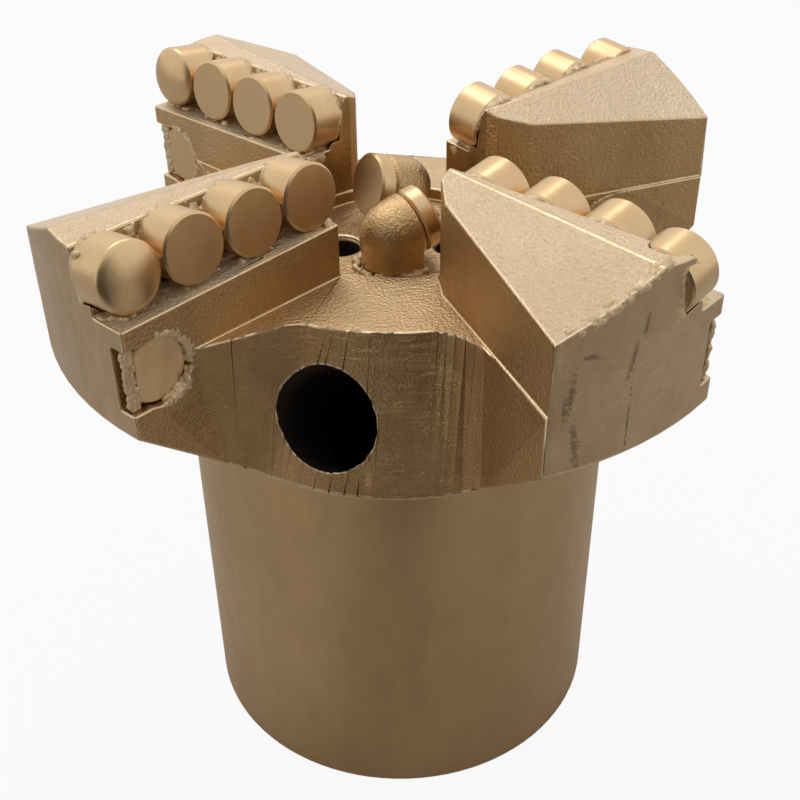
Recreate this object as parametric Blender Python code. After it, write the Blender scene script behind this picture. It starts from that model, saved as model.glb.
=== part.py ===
"""Four-bladed steel-body PDC drill bit, standing on its shank with the cutters up.

Lengths are in metres. The Z axis is the bit's axis, Z = 0 is the shank's end face, and +Z points
towards the cutting end. A blade is described in its own (u, w, z) frame: u runs outwards along the
blade, w points the way the bit turns, so that +w is the leading side, and z is the world's Z.
"""
import math

import bmesh
import bpy
from mathutils import Matrix, Vector

# Shank and crown
SHANK_R = 0.048
SHANK_TOP_Z = 0.0885
GAUGE_R = 0.075
RIM_SLOPE = 0.845
CROWN_HEIGHT = 0.0355
FLOOR_Z = SHANK_TOP_Z + CROWN_HEIGHT
RECESS_R = 0.0212
RECESS_Z = FLOOR_Z - 0.0026
SHANK_CHAMFER = 0.0012
SEGMENTS = 96

# Threaded socket for the drill string and the water bore above it
SOCKET_WALL = 0.0091
COUNTERBORE_R = SHANK_R - SOCKET_WALL
COUNTERBORE_DEPTH = 0.0159
THREAD_MOUTH_R = COUNTERBORE_R - 0.0039
THREAD_END_R = THREAD_MOUTH_R - 0.0078
THREAD_END_Z = SHANK_TOP_Z - 0.0105
WATER_BORE_R = THREAD_END_R - 0.0072
FLOOR_THICKNESS = 0.0195
WATER_BORE_TOP_Z = FLOOR_Z - FLOOR_THICKNESS

# Blades
BLADES = 4
FIRST_BLADE_ANGLE = math.radians(225.0)
LEAD_W = 0.006
BLADE_INNER = ((0.0227, LEAD_W), (0.0206, -0.0072), (0.0213, -0.0100), (0.0266, -0.0149))
TRAIL_OUTER = (0.0669, -0.0340)
TRAIL_OVERRUN = GAUGE_R - 0.013
BLADE_WASTE_W = 0.023 - GAUGE_R
BLADE_HEIGHT = 0.0222
CREST_W = -0.0064
CREST_Z = FLOOR_Z + BLADE_HEIGHT
LEDGE_Z = CREST_Z - 0.0109
LEDGE_FALL = 0.024
LEDGE_BACK_W = -0.0019
STEP_TOP_Z = CREST_Z - 0.0088
CREST_BACK_SLOPE = -0.0921
REAR_ORIGIN = (0.0204, -0.0072)
REAR_SLOPE_U = 0.0651
REAR_SLOPE_W = 0.4150

# Junk slots, in the frame of the blade on their right-hand side when seen from outside
SLOT_LIP = ((0.0601, LEAD_W), (0.0500, 0.0097))
SLOT_LIP_R = (0.0431, 0.0431, 0.0388, 0.0431)
SLOT_TRAIL_START = (0.3, 0.3, 0.08, 0.3)
SLOT_FOOT_STEP = 0.0009
SLOT_FOOT = ((0.0560, LEAD_W), (0.0515, 0.0064))
SLOT_ARC_TOP = (math.radians(17.5), math.radians(54.5))
SLOT_ARC_FOOT = (math.radians(11.5), math.radians(52.0))
SLOT_ARC_POINTS = 6
SLOT_EASING = 2
SLOT_TRAIL_LIP = 0.0007

# Cutters
CUTTER_R = 0.00672
CUTTER_LENGTH = 0.008
CUTTER_CHAMFER = 0.00045
CUTTER_DOME = 0.0018
BRAZE_GAP = 0.0003
CUTTER_SEGMENTS = 32
FACE_CUTTERS = 4
FACE_CUTTER_FIRST_U = BLADE_INNER[0][0] + 0.0043
FACE_CUTTER_WEB = 0.00072
FACE_CUTTER_W = 0.00337
FACE_CUTTER_Z = CREST_Z - 0.0045
FACE_CUTTER_TILT = math.radians(7.8)
ROW_SETBACK = (0.0, 0.0007, 0.0, 0.0)
ROW_DROP = (0.0, 0.0007, 0.0, 0.0)
LAST_CUTTER_SETBACK = (0.0, 0.0034, 0.0034, 0.0)
POCKET_LIP = 0.0004

# Gauge cutters in the leading faces
GAUGE_FLAT_INSET = 0.0027
GAUGE_FLAT_U = GAUGE_R - GAUGE_FLAT_INSET
GAUGE_CUTTER_U = GAUGE_FLAT_U - 0.0044
GAUGE_CUTTER_Z = FLOOR_Z - 0.0012
GAUGE_CUTTER_RECESS = 0.0013
GAUGE_NOTCH_DEPTH = 0.0040
GAUGE_NOTCH_Z = (GAUGE_CUTTER_Z - 0.0065, GAUGE_CUTTER_Z + 0.0069)

# Centre studs
STUD_PLACE = (-0.00132, -0.01118)
STUD_Z = FLOOR_Z + 0.0046
STUD_FACE_ANGLE = math.radians(18.4)
STUD_TILT = math.radians(16.0)
STUD_BODY_LENGTH = 0.0046
STUD_CUTTER_LENGTH = 0.0036
STUD_PEG_R = 0.0052
STUD_PEG_DEPTH = 0.008

# Water ports
SIDE_PORT_R = 0.0101
SIDE_PORT_ANGLE = math.radians(25.5)
SIDE_PORT_MOUTH_R = SHANK_R - 0.002
SIDE_PORT_Z = FLOOR_Z - 0.019
SIDE_PORT_RISE = math.radians(39.0)
SIDE_PORT_SLOTS = (0, 2)
NOZZLE_R = 0.0042
NOZZLE_PLACES = ((-0.0122, -0.0023), (0.0125, -0.0035))

BRONZE = (0.47, 0.31, 0.15)


def clear_scene():
    """Remove what an empty file starts with."""
    for thing in list(bpy.data.objects):
        bpy.data.objects.remove(thing, do_unlink=True)


def paint(name, colour, roughness, metallic):
    """Give a sub-part's material its colour, roughness and metallic value."""
    material = bpy.data.materials.new(name)
    material.use_nodes = True
    shader = material.node_tree.nodes["Principled BSDF"]
    shader.inputs["Base Color"].default_value = (*colour, 1.0)
    shader.inputs["Roughness"].default_value = roughness
    shader.inputs["Metallic"].default_value = metallic
    return material


def make_object(name, mesh, material=None):
    """Link a mesh to the scene under its sub-part's name."""
    thing = bpy.data.objects.new(name, mesh)
    bpy.context.scene.collection.objects.link(thing)
    if material:
        mesh.materials.append(material)
    return thing


def rings_to_mesh(name, shells, smooth_angle=30.0):
    """Skin each shell, a list of rings with equal point counts, and close its two ends."""
    work = bmesh.new()
    for rings in shells:
        loops = []
        for ring in rings:
            corners = [work.verts.new(point) for point in ring]
            loops.append([work.edges.new((corners[i - 1], corners[i])) for i in range(len(corners))])
            if ring is rings[0] or ring is rings[-1]:
                work.faces.new(corners)
        for lower, upper in zip(loops, loops[1:]):
            bridge(work, lower, upper)
    bmesh.ops.recalc_face_normals(work, faces=work.faces)
    mesh = bpy.data.meshes.new(name)
    work.to_mesh(mesh)
    work.free()
    mesh.shade_smooth()
    mesh.set_sharp_from_angle(angle=math.radians(smooth_angle))
    return mesh


def bridge(work, lower, upper):
    """Join two rings of edges, point to point, with quads."""
    for first, second in zip(lower, upper):
        a, b = ordered(first, lower)
        c, d = ordered(second, upper)
        work.faces.new((a, b, d, c))


def ordered(edge, loop):
    """Return an edge's ends in the ring's running order."""
    follow = loop[(loop.index(edge) + 1) % len(loop)]
    first, last = edge.verts
    return (first, last) if last in follow.verts else (last, first)


def circle(radius, height=0.0, count=CUTTER_SEGMENTS):
    """Points of a level circle about the Z axis."""
    turns = (math.tau * i / count for i in range(count))
    return [Vector((radius * math.cos(t), radius * math.sin(t), height)) for t in turns]


def turned(name, profile, count=SEGMENTS):
    """Spin a closed (radius, height) profile that starts and ends on the Z axis."""
    work = bmesh.new()
    corners = [work.verts.new((r, 0.0, z)) for r, z in profile]
    edges = [work.edges.new(pair) for pair in zip(corners, corners[1:])]
    bmesh.ops.spin(work, geom=corners + edges, cent=(0, 0, 0), axis=(0, 0, 1),
                   angle=math.tau, steps=count, use_merge=True)
    bmesh.ops.remove_doubles(work, verts=work.verts, dist=1e-6)
    bmesh.ops.recalc_face_normals(work, faces=work.faces)
    mesh = bpy.data.meshes.new(name)
    work.to_mesh(mesh)
    work.free()
    mesh.shade_smooth()
    mesh.set_sharp_from_angle(angle=math.radians(25.0))
    return mesh


def blade_matrix(index):
    """Return the turn from a blade's own frame to the world."""
    return Matrix.Rotation(FIRST_BLADE_ANGLE + index * math.tau / BLADES, 4, "Z")


def placed(points, matrix):
    """Move a ring of points."""
    return [matrix @ Vector(point) for point in points]


def axis_matrix(origin, direction):
    """Return a frame with its Z axis along a direction."""
    turn = Vector(direction).normalized().to_track_quat("Z", "Y")
    return Matrix.Translation(Vector(origin)) @ turn.to_matrix().to_4x4()


def cutter_object(name, shells):
    """Make a tool body that only takes material away."""
    thing = make_object(name, rings_to_mesh(name, shells))
    thing.hide_render = True
    thing.display_type = "WIRE"
    return thing


def cut(target, tool, operation="DIFFERENCE"):
    """Add one exact Boolean step to a target."""
    step = target.modifiers.new(tool.name, "BOOLEAN")
    step.operation = operation
    step.solver = "EXACT"
    step.object = tool


def trail_point(distance):
    """Return the point of the trailing wall's line at a distance past its inner corner."""
    inner, outer = Vector(BLADE_INNER[-1]), Vector(TRAIL_OUTER)
    return inner + (outer - inner).normalized() * distance


def crown_blank(material):
    """Turn the whole forging: shank, cone, gauge, and the threaded socket inside."""
    rim_z = SHANK_TOP_Z + (GAUGE_R - SHANK_R) * RIM_SLOPE
    top = CREST_Z + 0.004
    profile = [
        (0.0, top), (GAUGE_R, top), (GAUGE_R, rim_z), (SHANK_R, SHANK_TOP_Z),
        (SHANK_R, SHANK_CHAMFER), (SHANK_R - SHANK_CHAMFER, 0.0), (COUNTERBORE_R, 0.0),
        (COUNTERBORE_R, COUNTERBORE_DEPTH), (THREAD_MOUTH_R, COUNTERBORE_DEPTH + 0.002),
        (THREAD_END_R, THREAD_END_Z), (WATER_BORE_R, THREAD_END_Z + 0.008),
        (WATER_BORE_R, WATER_BORE_TOP_Z - 0.003), (WATER_BORE_R - 0.004, WATER_BORE_TOP_Z),
        (0.0, WATER_BORE_TOP_Z)]
    return make_object("bit_body", turned("bit_body", profile), material)


def waste_between_blades():
    """Outline everything above the crown's floor that is not a blade."""
    far = GAUGE_R + 0.006
    outline = []
    for index in range(BLADES):
        matrix = blade_matrix(index)
        start = trail_point(TRAIL_OVERRUN)
        path = [start] + [Vector(p) for p in reversed(BLADE_INNER)] + [Vector((far, LEAD_W))]
        outline += [matrix @ Vector((p[0], p[1], 0.0)) for p in path]
        outline += far_arc(matrix, far)
    low = [Vector((p.x, p.y, FLOOR_Z)) for p in outline]
    high = [Vector((p.x, p.y, CREST_Z + 0.008)) for p in outline]
    tool = cutter_object("waste_between_blades", [[low, high]])
    split_faces(tool.data, floor_planes())
    return tool


def split_faces(mesh, planes):
    """Divide a mesh's large faces along planes, so that later cuts meet only small ones."""
    work = bmesh.new()
    work.from_mesh(mesh)
    for point, normal in planes:
        everything = list(work.verts) + list(work.edges) + list(work.faces)
        bmesh.ops.bisect_plane(work, geom=everything, dist=1e-7, plane_co=point, plane_no=normal)
    work.to_mesh(mesh)
    work.free()


def floor_planes():
    """Upright planes that divide the floor into the middle and the parts between the blades."""
    planes = []
    for index in range(BLADES):
        turn = FIRST_BLADE_ANGLE + index * math.tau / BLADES
        for reach in (0.0235, 0.040):
            for side in (math.radians(12.0), math.radians(57.0)):
                way = Vector((math.cos(turn + side), math.sin(turn + side), 0.0))
                planes.append((way * reach, way))
        way = Vector((math.cos(turn + 0.2), math.sin(turn + 0.2), 0.0))
        planes.append((way * 0.0001, way))
    return planes


def far_arc(matrix, radius):
    """Points outside the gauge from a blade's leading face round to the next blade."""
    return [matrix @ Vector((radius * math.cos(a), radius * math.sin(a), 0.0))
            for a in (math.radians(d) for d in (12.0, 24.0, 36.0, 48.0, 56.0))]


def blade_top_section(u):
    """Section of the waste above a blade: ledge, step, slope, crest and falling rear face."""
    rear_u, rear_w = REAR_ORIGIN
    slope = REAR_SLOPE_W - CREST_BACK_SLOPE
    level = REAR_SLOPE_U * (u - rear_u) - REAR_SLOPE_W * rear_w + CREST_BACK_SLOPE * CREST_W
    crest_w = -level / slope
    crest_z = CREST_Z + CREST_BACK_SLOPE * (crest_w - CREST_W)
    far_z = CREST_Z + REAR_SLOPE_U * (u - rear_u) + REAR_SLOPE_W * (BLADE_WASTE_W - rear_w)
    top = CREST_Z + 0.010
    lead = LEAD_W + 0.002
    ledge = LEDGE_Z - LEDGE_FALL * (u - rear_u)
    return [Vector(p) for p in (
        (u, lead, ledge), (u, LEDGE_BACK_W, ledge), (u, LEDGE_BACK_W, STEP_TOP_Z),
        (u, CREST_W, CREST_Z), (u, crest_w, crest_z), (u, BLADE_WASTE_W, far_z),
        (u, BLADE_WASTE_W, top), (u, lead, top))]


def waste_over_blades():
    """Shape the tops of the blades."""
    shells = []
    for index in range(BLADES):
        matrix = blade_matrix(index)
        shells.append([placed(blade_top_section(u), matrix) for u in (0.0175, GAUGE_R + 0.008)])
    return cutter_object("waste_over_blades", shells)


def slot_section(lead_points, radius, arc, trail_start, height):
    """Outline of a junk slot at one height, in its blade's frame."""
    far = GAUGE_R + 0.019
    points = [Vector((far, LEAD_W, height))] + [Vector((*p, height)) for p in lead_points]
    for i in range(SLOT_ARC_POINTS):
        turn = arc[0] + (arc[1] - arc[0]) * i / (SLOT_ARC_POINTS - 1)
        points.append(Vector((radius * math.cos(turn), radius * math.sin(turn), height)))
    for share in (trail_start, 0.55, 1.0):
        wall = trail_point(share * TRAIL_OVERRUN)
        points.append(Vector((-wall.y + SLOT_TRAIL_LIP, wall.x, height)))
    return points[:1] + eased(points[1:-1]) + points[-1:] + [Vector((far * 0.62, far * 0.9, height))]


def eased(points):
    """Round off the corners of an open outline by cutting each of them again and again."""
    for _ in range(SLOT_EASING):
        softer = [points[0]]
        for first, second in zip(points, points[1:]):
            softer += [first.lerp(second, 0.25), first.lerp(second, 0.75)]
        points = softer + [points[-1]]
    return points


def junk_slots():
    """Run each slot from the floor down the cone until it fades into the shank."""
    drop = SHANK_TOP_Z - 0.0015
    shells = []
    for index in range(BLADES):
        matrix = blade_matrix(index)
        start, radius = SLOT_TRAIL_START[index], SLOT_LIP_R[index]
        inset = radius - max(SLOT_LIP_R)
        edge = [SLOT_LIP[0]] + [(u + inset, w) for u, w in SLOT_LIP[1:]]
        foot = slot_section(SLOT_FOOT, SHANK_R + SLOT_FOOT_STEP, SLOT_ARC_FOOT, start, drop)
        lip = slot_section(edge, radius, SLOT_ARC_TOP, start, FLOOR_Z)
        rise = 0.003 / (FLOOR_Z - drop)
        over = [b + (b - a) * rise for a, b in zip(foot, lip)]
        shells.append([placed(ring, matrix) for ring in (foot, over)])
    return cutter_object("junk_slots", shells)


def face_cutter_frame(index, order):
    """Return the frame of a blade's face cutter, with Z out of its cutting face."""
    tilt = FACE_CUTTER_TILT
    u = FACE_CUTTER_FIRST_U + order * (2.0 * CUTTER_R + FACE_CUTTER_WEB)
    last = order == FACE_CUTTERS - 1
    w = FACE_CUTTER_W - (LAST_CUTTER_SETBACK[index] if last else ROW_SETBACK[index])
    z = FACE_CUTTER_Z - ROW_DROP[index]
    local = axis_matrix((u, w, z), (0.0, math.cos(tilt), math.sin(tilt)))
    return blade_matrix(index) @ local


def face_pockets(first):
    """Bore every second brazing pocket of the face cutters, from the first or the second one."""
    shells = []
    for index in range(BLADES):
        for order in range(first, FACE_CUTTERS, 2):
            frame = face_cutter_frame(index, order)
            radius = CUTTER_R + BRAZE_GAP
            back, front = -CUTTER_LENGTH - BRAZE_GAP, POCKET_LIP
            shells.append([placed(circle(radius, z), frame) for z in (back, front)])
    return cutter_object(f"face_pockets_{first}", shells)


def gauge_outline(index, radius, height, flat):
    """Place a gauge cutter's round outline with its outer side flat."""
    ring = [Vector((min(p.x, flat), p.y, 0.0)) for p in circle(radius)]
    face_w = LEAD_W - GAUGE_CUTTER_RECESS + height
    points = [(GAUGE_CUTTER_U + p.x, face_w, GAUGE_CUTTER_Z + p.y) for p in ring]
    return placed(points, blade_matrix(index))


def gauge_pockets():
    """Sink the gauge cutters' pockets into the leading faces."""
    radius = CUTTER_R + BRAZE_GAP
    flat = GAUGE_FLAT_U - GAUGE_CUTTER_U + BRAZE_GAP
    levels = (-CUTTER_LENGTH - BRAZE_GAP, GAUGE_CUTTER_RECESS + 0.003)
    shells = [[gauge_outline(index, radius, z, flat) for z in levels] for index in range(BLADES)]
    return cutter_object("gauge_pockets", shells)


def gauge_notches():
    """Open each gauge pocket to the outside, so that the ground side of its cutter works."""
    low, high = GAUGE_NOTCH_Z
    back = LEAD_W - GAUGE_NOTCH_DEPTH
    shells = []
    for index in range(BLADES):
        rings = []
        for w in (back, LEAD_W + 0.004):
            box = ((GAUGE_CUTTER_U + 0.001, w, low), (GAUGE_R + 0.009, w, low),
                   (GAUGE_R + 0.009, w, high), (GAUGE_CUTTER_U + 0.001, w, high))
            rings.append(placed(box, blade_matrix(index)))
        shells.append(rings)
    return cutter_object("gauge_notches", shells)


def side_ports():
    """Drill the slanting water ports from two of the slots down into the socket."""
    shells = []
    for index in SIDE_PORT_SLOTS:
        a = SIDE_PORT_ANGLE
        mouth = Vector((SIDE_PORT_MOUTH_R * math.cos(a), SIDE_PORT_MOUTH_R * math.sin(a), SIDE_PORT_Z))
        rise = SIDE_PORT_RISE
        way = Vector((math.cos(a) * math.cos(rise), math.sin(a) * math.cos(rise), math.sin(rise)))
        frame = blade_matrix(index) @ axis_matrix(mouth, way)
        shells.append([placed(circle(SIDE_PORT_R, z, 40), frame) for z in (-0.036, 0.016)])
    return cutter_object("side_ports", shells)


def centre_recess():
    """Turn the shallow recess in the floor that the centre studs stand in."""
    levels = (RECESS_Z, FLOOR_Z + 0.001)
    return cutter_object("centre_recess", [[circle(RECESS_R, z, SEGMENTS // 2) for z in levels]])


def floor_holes():
    """Drill the two nozzle holes and the studs' peg holes in the floor."""
    shells = []
    for x, y in NOZZLE_PLACES:
        frame = Matrix.Translation((x, y, 0.0))
        levels = ((NOZZLE_R, WATER_BORE_TOP_Z - 0.004), (NOZZLE_R, RECESS_Z - 0.0008),
                  (NOZZLE_R + 0.0012, RECESS_Z + 0.0004))
        shells.append([placed(circle(r, z, 24), frame) for r, z in levels])
    for turn in (0.0, math.pi):
        frame = stud_frame(turn)
        depth = RECESS_Z - STUD_PEG_DEPTH - BRAZE_GAP
        levels = ((STUD_PEG_R + BRAZE_GAP, depth), (STUD_PEG_R + BRAZE_GAP, RECESS_Z + 0.001))
        shells.append([placed(circle(r, z, 24), frame) for r, z in levels])
    return cutter_object("floor_holes", shells)


def stud_frame(turn):
    """Return a stud's upright frame, with X towards its cutting face."""
    place = Matrix.Translation((*STUD_PLACE, 0.0)) @ Matrix.Rotation(STUD_FACE_ANGLE, 4, "Z")
    return Matrix.Rotation(turn, 4, "Z") @ place


def stud_axis(turn):
    """Return a stud's leaning frame, with Z out towards its cutting face."""
    tilt = STUD_TILT
    lean = axis_matrix((0.0, 0.0, STUD_Z), (math.cos(tilt), 0.0, math.sin(tilt)))
    return stud_frame(turn) @ lean


def make_body(material):
    """Cut the crown out of the blank."""
    body = crown_blank(material)
    for tool in (waste_between_blades(), waste_over_blades(), junk_slots(), centre_recess(),
                 face_pockets(0), face_pockets(1), gauge_pockets(), gauge_notches(), side_ports(),
                 floor_holes()):
        cut(body, tool)
    return body


def cutter_rings(length, domed):
    """Rings of a compact: plain carbide end, straight side, and a flat or domed cutting face."""
    levels = [(CUTTER_R - 0.0004, -length), (CUTTER_R, -length + 0.0004)]
    if not domed:
        return levels + [(CUTTER_R, -CUTTER_CHAMFER), (CUTTER_R - CUTTER_CHAMFER, 0.0)]
    sphere = (CUTTER_R ** 2 + CUTTER_DOME ** 2) / (2.0 * CUTTER_DOME)
    widest = math.asin(CUTTER_R / sphere)
    for part in (1.0, 0.8, 0.6, 0.4, 0.2):
        turn = widest * part
        levels.append((sphere * math.sin(turn), CUTTER_DOME - sphere * (1.0 - math.cos(turn))))
    return levels


def compact(name, frame, length, domed, material):
    """Place one round compact."""
    rings = [placed(circle(r, z), frame) for r, z in cutter_rings(length, domed)]
    return make_object(name, rings_to_mesh(name, [rings]), material)


def face_cutters(material):
    """Set four compacts on each blade, the outermost with a domed face."""
    for index in range(BLADES):
        for order in range(FACE_CUTTERS):
            name = f"face_cutter_{index + 1}_{order + 1}"
            domed = order == FACE_CUTTERS - 1
            compact(name, face_cutter_frame(index, order), CUTTER_LENGTH, domed, material)


def gauge_cutters(material):
    """Set one compact in each leading face, ground flat where it faces the gauge."""
    flat = GAUGE_FLAT_U - GAUGE_CUTTER_U
    for index in range(BLADES):
        rings = [gauge_outline(index, r, z, flat - (CUTTER_R - r))
                 for r, z in cutter_rings(CUTTER_LENGTH, False)]
        name = f"gauge_cutter_{index + 1}"
        make_object(name, rings_to_mesh(name, [rings]), material)


def bullet_rings(turn):
    """Rings of a leaning cylinder with a ball end, from the ball's tip to a flat front."""
    frame = stud_axis(turn)
    radius, length = CUTTER_R, STUD_BODY_LENGTH
    steps = 7
    rings = []
    for step in range(steps):
        lift = math.radians(83.0) * (1.0 - step / (steps - 1))
        rings.append(placed(circle(radius * math.cos(lift), -radius * math.sin(lift)), frame))
    rings.append(placed(circle(radius, length), frame))
    return rings


def stud_foot_rings(turn):
    """Outline the stud's upright foot: round behind, square in front, with a peg below."""
    frame = stud_frame(turn)
    half, front = CUTTER_R - 0.0005, STUD_BODY_LENGTH
    outline = []
    for step in range(13):
        a = math.radians(90.0 + 15.0 * step)
        outline.append((half * math.cos(a), half * math.sin(a)))
    outline += [(front * 0.5, -half), (front * 0.93, -half), (front * 0.93, half), (front * 0.5, half)]
    base = RECESS_Z + BRAZE_GAP
    return [placed([(x, y, z) for x, y in outline], frame) for z in (base, STUD_Z - 0.0008)]


def centre_studs(material, cutter_material):
    """Stand the two centre studs on the floor, each with its compact brazed on."""
    for label, turn in (("front", 0.0), ("back", math.pi)):
        name = f"centre_stud_{label}"
        bullet = rings_to_mesh(name, [bullet_rings(turn)])
        stud = make_object(name, bullet, material)
        foot = cutter_object(f"{name}_foot", [stud_foot_rings(turn)])
        base = RECESS_Z - STUD_PEG_DEPTH
        peg = [placed(circle(STUD_PEG_R, z, 24), stud_frame(turn)) for z in (base, STUD_Z - 0.002)]
        post = cutter_object(f"{name}_peg", [peg])
        cut(stud, foot, "UNION")
        cut(stud, post, "UNION")
        seat = STUD_BODY_LENGTH + BRAZE_GAP + STUD_CUTTER_LENGTH
        frame = stud_axis(turn) @ Matrix.Translation((0.0, 0.0, seat))
        compact(f"centre_cutter_{label}", frame, STUD_CUTTER_LENGTH, False, cutter_material)


def main():
    """Build every sub-part of the drill bit."""
    clear_scene()
    rough = paint("sprayed_steel", BRONZE, 0.42, 0.85)
    smooth = paint("sprayed_compact", BRONZE, 0.30, 0.90)
    stud = paint("sprayed_stud", BRONZE, 0.36, 0.88)
    make_body(rough)
    face_cutters(smooth)
    gauge_cutters(smooth)
    centre_studs(stud, smooth)


main()
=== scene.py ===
"""Looks of a four-bladed drill bit with brazed compacts, sprayed all over in bronze.

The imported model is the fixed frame. Lengths are in metres, Z is the bit's axis, and a blade is
described in its own (u, w, z) frame: u outwards, w towards the leading side, z up.
"""
import logging
import math
import random
from dataclasses import dataclass, field
from enum import Enum
from typing import Callable, Sequence

import bpy
from mathutils import Matrix, Vector
from mathutils.bvhtree import BVHTree


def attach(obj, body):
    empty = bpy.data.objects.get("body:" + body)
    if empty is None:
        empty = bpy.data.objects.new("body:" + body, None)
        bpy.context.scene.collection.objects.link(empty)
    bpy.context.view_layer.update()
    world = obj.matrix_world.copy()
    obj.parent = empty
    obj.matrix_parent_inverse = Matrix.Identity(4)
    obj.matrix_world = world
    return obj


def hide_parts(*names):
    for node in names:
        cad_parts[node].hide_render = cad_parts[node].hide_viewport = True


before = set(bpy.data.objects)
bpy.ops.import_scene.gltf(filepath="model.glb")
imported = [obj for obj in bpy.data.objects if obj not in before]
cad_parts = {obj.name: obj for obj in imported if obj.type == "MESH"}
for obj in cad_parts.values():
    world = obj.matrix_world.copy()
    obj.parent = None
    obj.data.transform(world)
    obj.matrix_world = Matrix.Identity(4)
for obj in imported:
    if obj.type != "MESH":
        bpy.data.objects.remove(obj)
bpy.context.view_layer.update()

LOG = logging.getLogger("drill_bit")
Pair = tuple[float, float]
Triple = tuple[float, float, float]
Colour = tuple[float, float, float, float]
EdgeKey = tuple[int, int]
FIRST_BLADE = 225.0
BLADES = 4
ROW = 4
HALF_TURNS = {"front": 0.0, "back": math.pi}
LEAST = 1e-6


def make_active(thing: bpy.types.Object) -> None:
    """Select one object alone and make it the active one.

    Args:
        thing: The object.
    """
    if bpy.context.object and bpy.context.object.mode != "OBJECT":
        bpy.ops.object.mode_set(mode="OBJECT")
    bpy.ops.object.select_all(action="DESELECT")
    thing.select_set(True)
    bpy.context.view_layer.objects.active = thing


def edit(thing: bpy.types.Object, select: bool = True) -> None:
    """Open one object's mesh for editing.

    Args:
        thing: The mesh object.
        select: Whether all of it starts selected.
    """
    make_active(thing)
    bpy.ops.object.mode_set(mode="EDIT")
    bpy.ops.mesh.select_all(action="SELECT" if select else "DESELECT")


def close_edit() -> None:
    """Go back to object mode."""
    bpy.ops.object.mode_set(mode="OBJECT")


def apply_modifier(thing: bpy.types.Object, kind: str, **settings: object) -> None:
    """Add one modifier, set it and apply it.

    Args:
        thing: The mesh object.
        kind: The modifier's type.
        settings: Values for the modifier's properties.
    """
    make_active(thing)
    step = thing.modifiers.new(kind.lower(), kind)
    for key, value in settings.items():
        setattr(step, key, value)
    bpy.ops.object.modifier_apply(modifier=step.name)


def settle(thing: bpy.types.Object, place: Matrix) -> bpy.types.Object:
    """Move an object by a matrix and leave the move in its mesh.

    Args:
        thing: The object, made about the origin.
        place: Where it goes.

    Returns:
        The same object, at the origin and unturned.
    """
    make_active(thing)
    thing.matrix_world = place @ thing.matrix_world
    bpy.ops.object.transform_apply(location=True, rotation=True, scale=True)
    return thing


def placed_copy(name: str, model: bpy.types.Object, place: Matrix) -> bpy.types.Object:
    """Stand a copy of a model in its place.

    Args:
        name: The copy's name.
        model: The object to copy.
        place: Where the copy goes.

    Returns:
        The copy, at the origin and unturned.
    """
    piece = bpy.data.objects.new(name, model.data.copy())
    bpy.context.scene.collection.objects.link(piece)
    return settle(piece, place)


def lathe(name: str, rings: Sequence[Pair], segments: int) -> bpy.types.Object:
    """Build a turned solid by extruding and resizing a disc ring after ring.

    Args:
        name: The object's name.
        rings: (radius, height) from the bottom up; a last radius of 0 closes to a point.
        segments: Corners round the axis.

    Returns:
        The new object, about the origin's Z axis.
    """
    radius, height = rings[0]
    bpy.ops.mesh.primitive_circle_add(vertices=segments, radius=radius, fill_type="NGON",
                                      location=(0.0, 0.0, height))
    disc = bpy.context.object
    disc.name = disc.data.name = name
    bpy.ops.object.transform_apply(location=True)
    edit(disc)
    for next_radius, next_height in rings[1:]:
        bpy.ops.mesh.extrude_region_move(
            TRANSFORM_OT_translate={"value": (0.0, 0.0, next_height - height)})
        share = max(next_radius, LEAST) / radius
        bpy.ops.transform.resize(value=(share, share, 1.0),
                                 center_override=(0.0, 0.0, next_height))
        radius, height = max(next_radius, LEAST), next_height
    if rings[-1][0] <= 0.0:
        bpy.ops.mesh.merge(type="CENTER")
    bpy.ops.mesh.select_all(action="SELECT")
    bpy.ops.mesh.normals_make_consistent(inside=False)
    close_edit()
    return disc


def smooth(thing: bpy.types.Object, angle: float) -> None:
    """Shade an object smooth, with sharp edges above an angle in degrees."""
    make_active(thing)
    bpy.ops.object.shade_smooth_by_angle(angle=math.radians(angle))


def blade_turn(index: int) -> Matrix:
    """Return the turn from a blade's own frame to the world."""
    return Matrix.Rotation(math.radians(FIRST_BLADE + 90.0 * index), 4, "Z")


def axis_frame(origin: Sequence[float], way: Sequence[float]) -> Matrix:
    """Return a frame with its Z axis along a direction.

    Args:
        origin: The frame's origin.
        way: The direction of its Z axis.

    Returns:
        The matrix from that frame to the world.
    """
    turn = Vector(way).normalized().to_track_quat("Z", "Y")
    return Matrix.Translation(Vector(origin)) @ turn.to_matrix().to_4x4()


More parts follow.
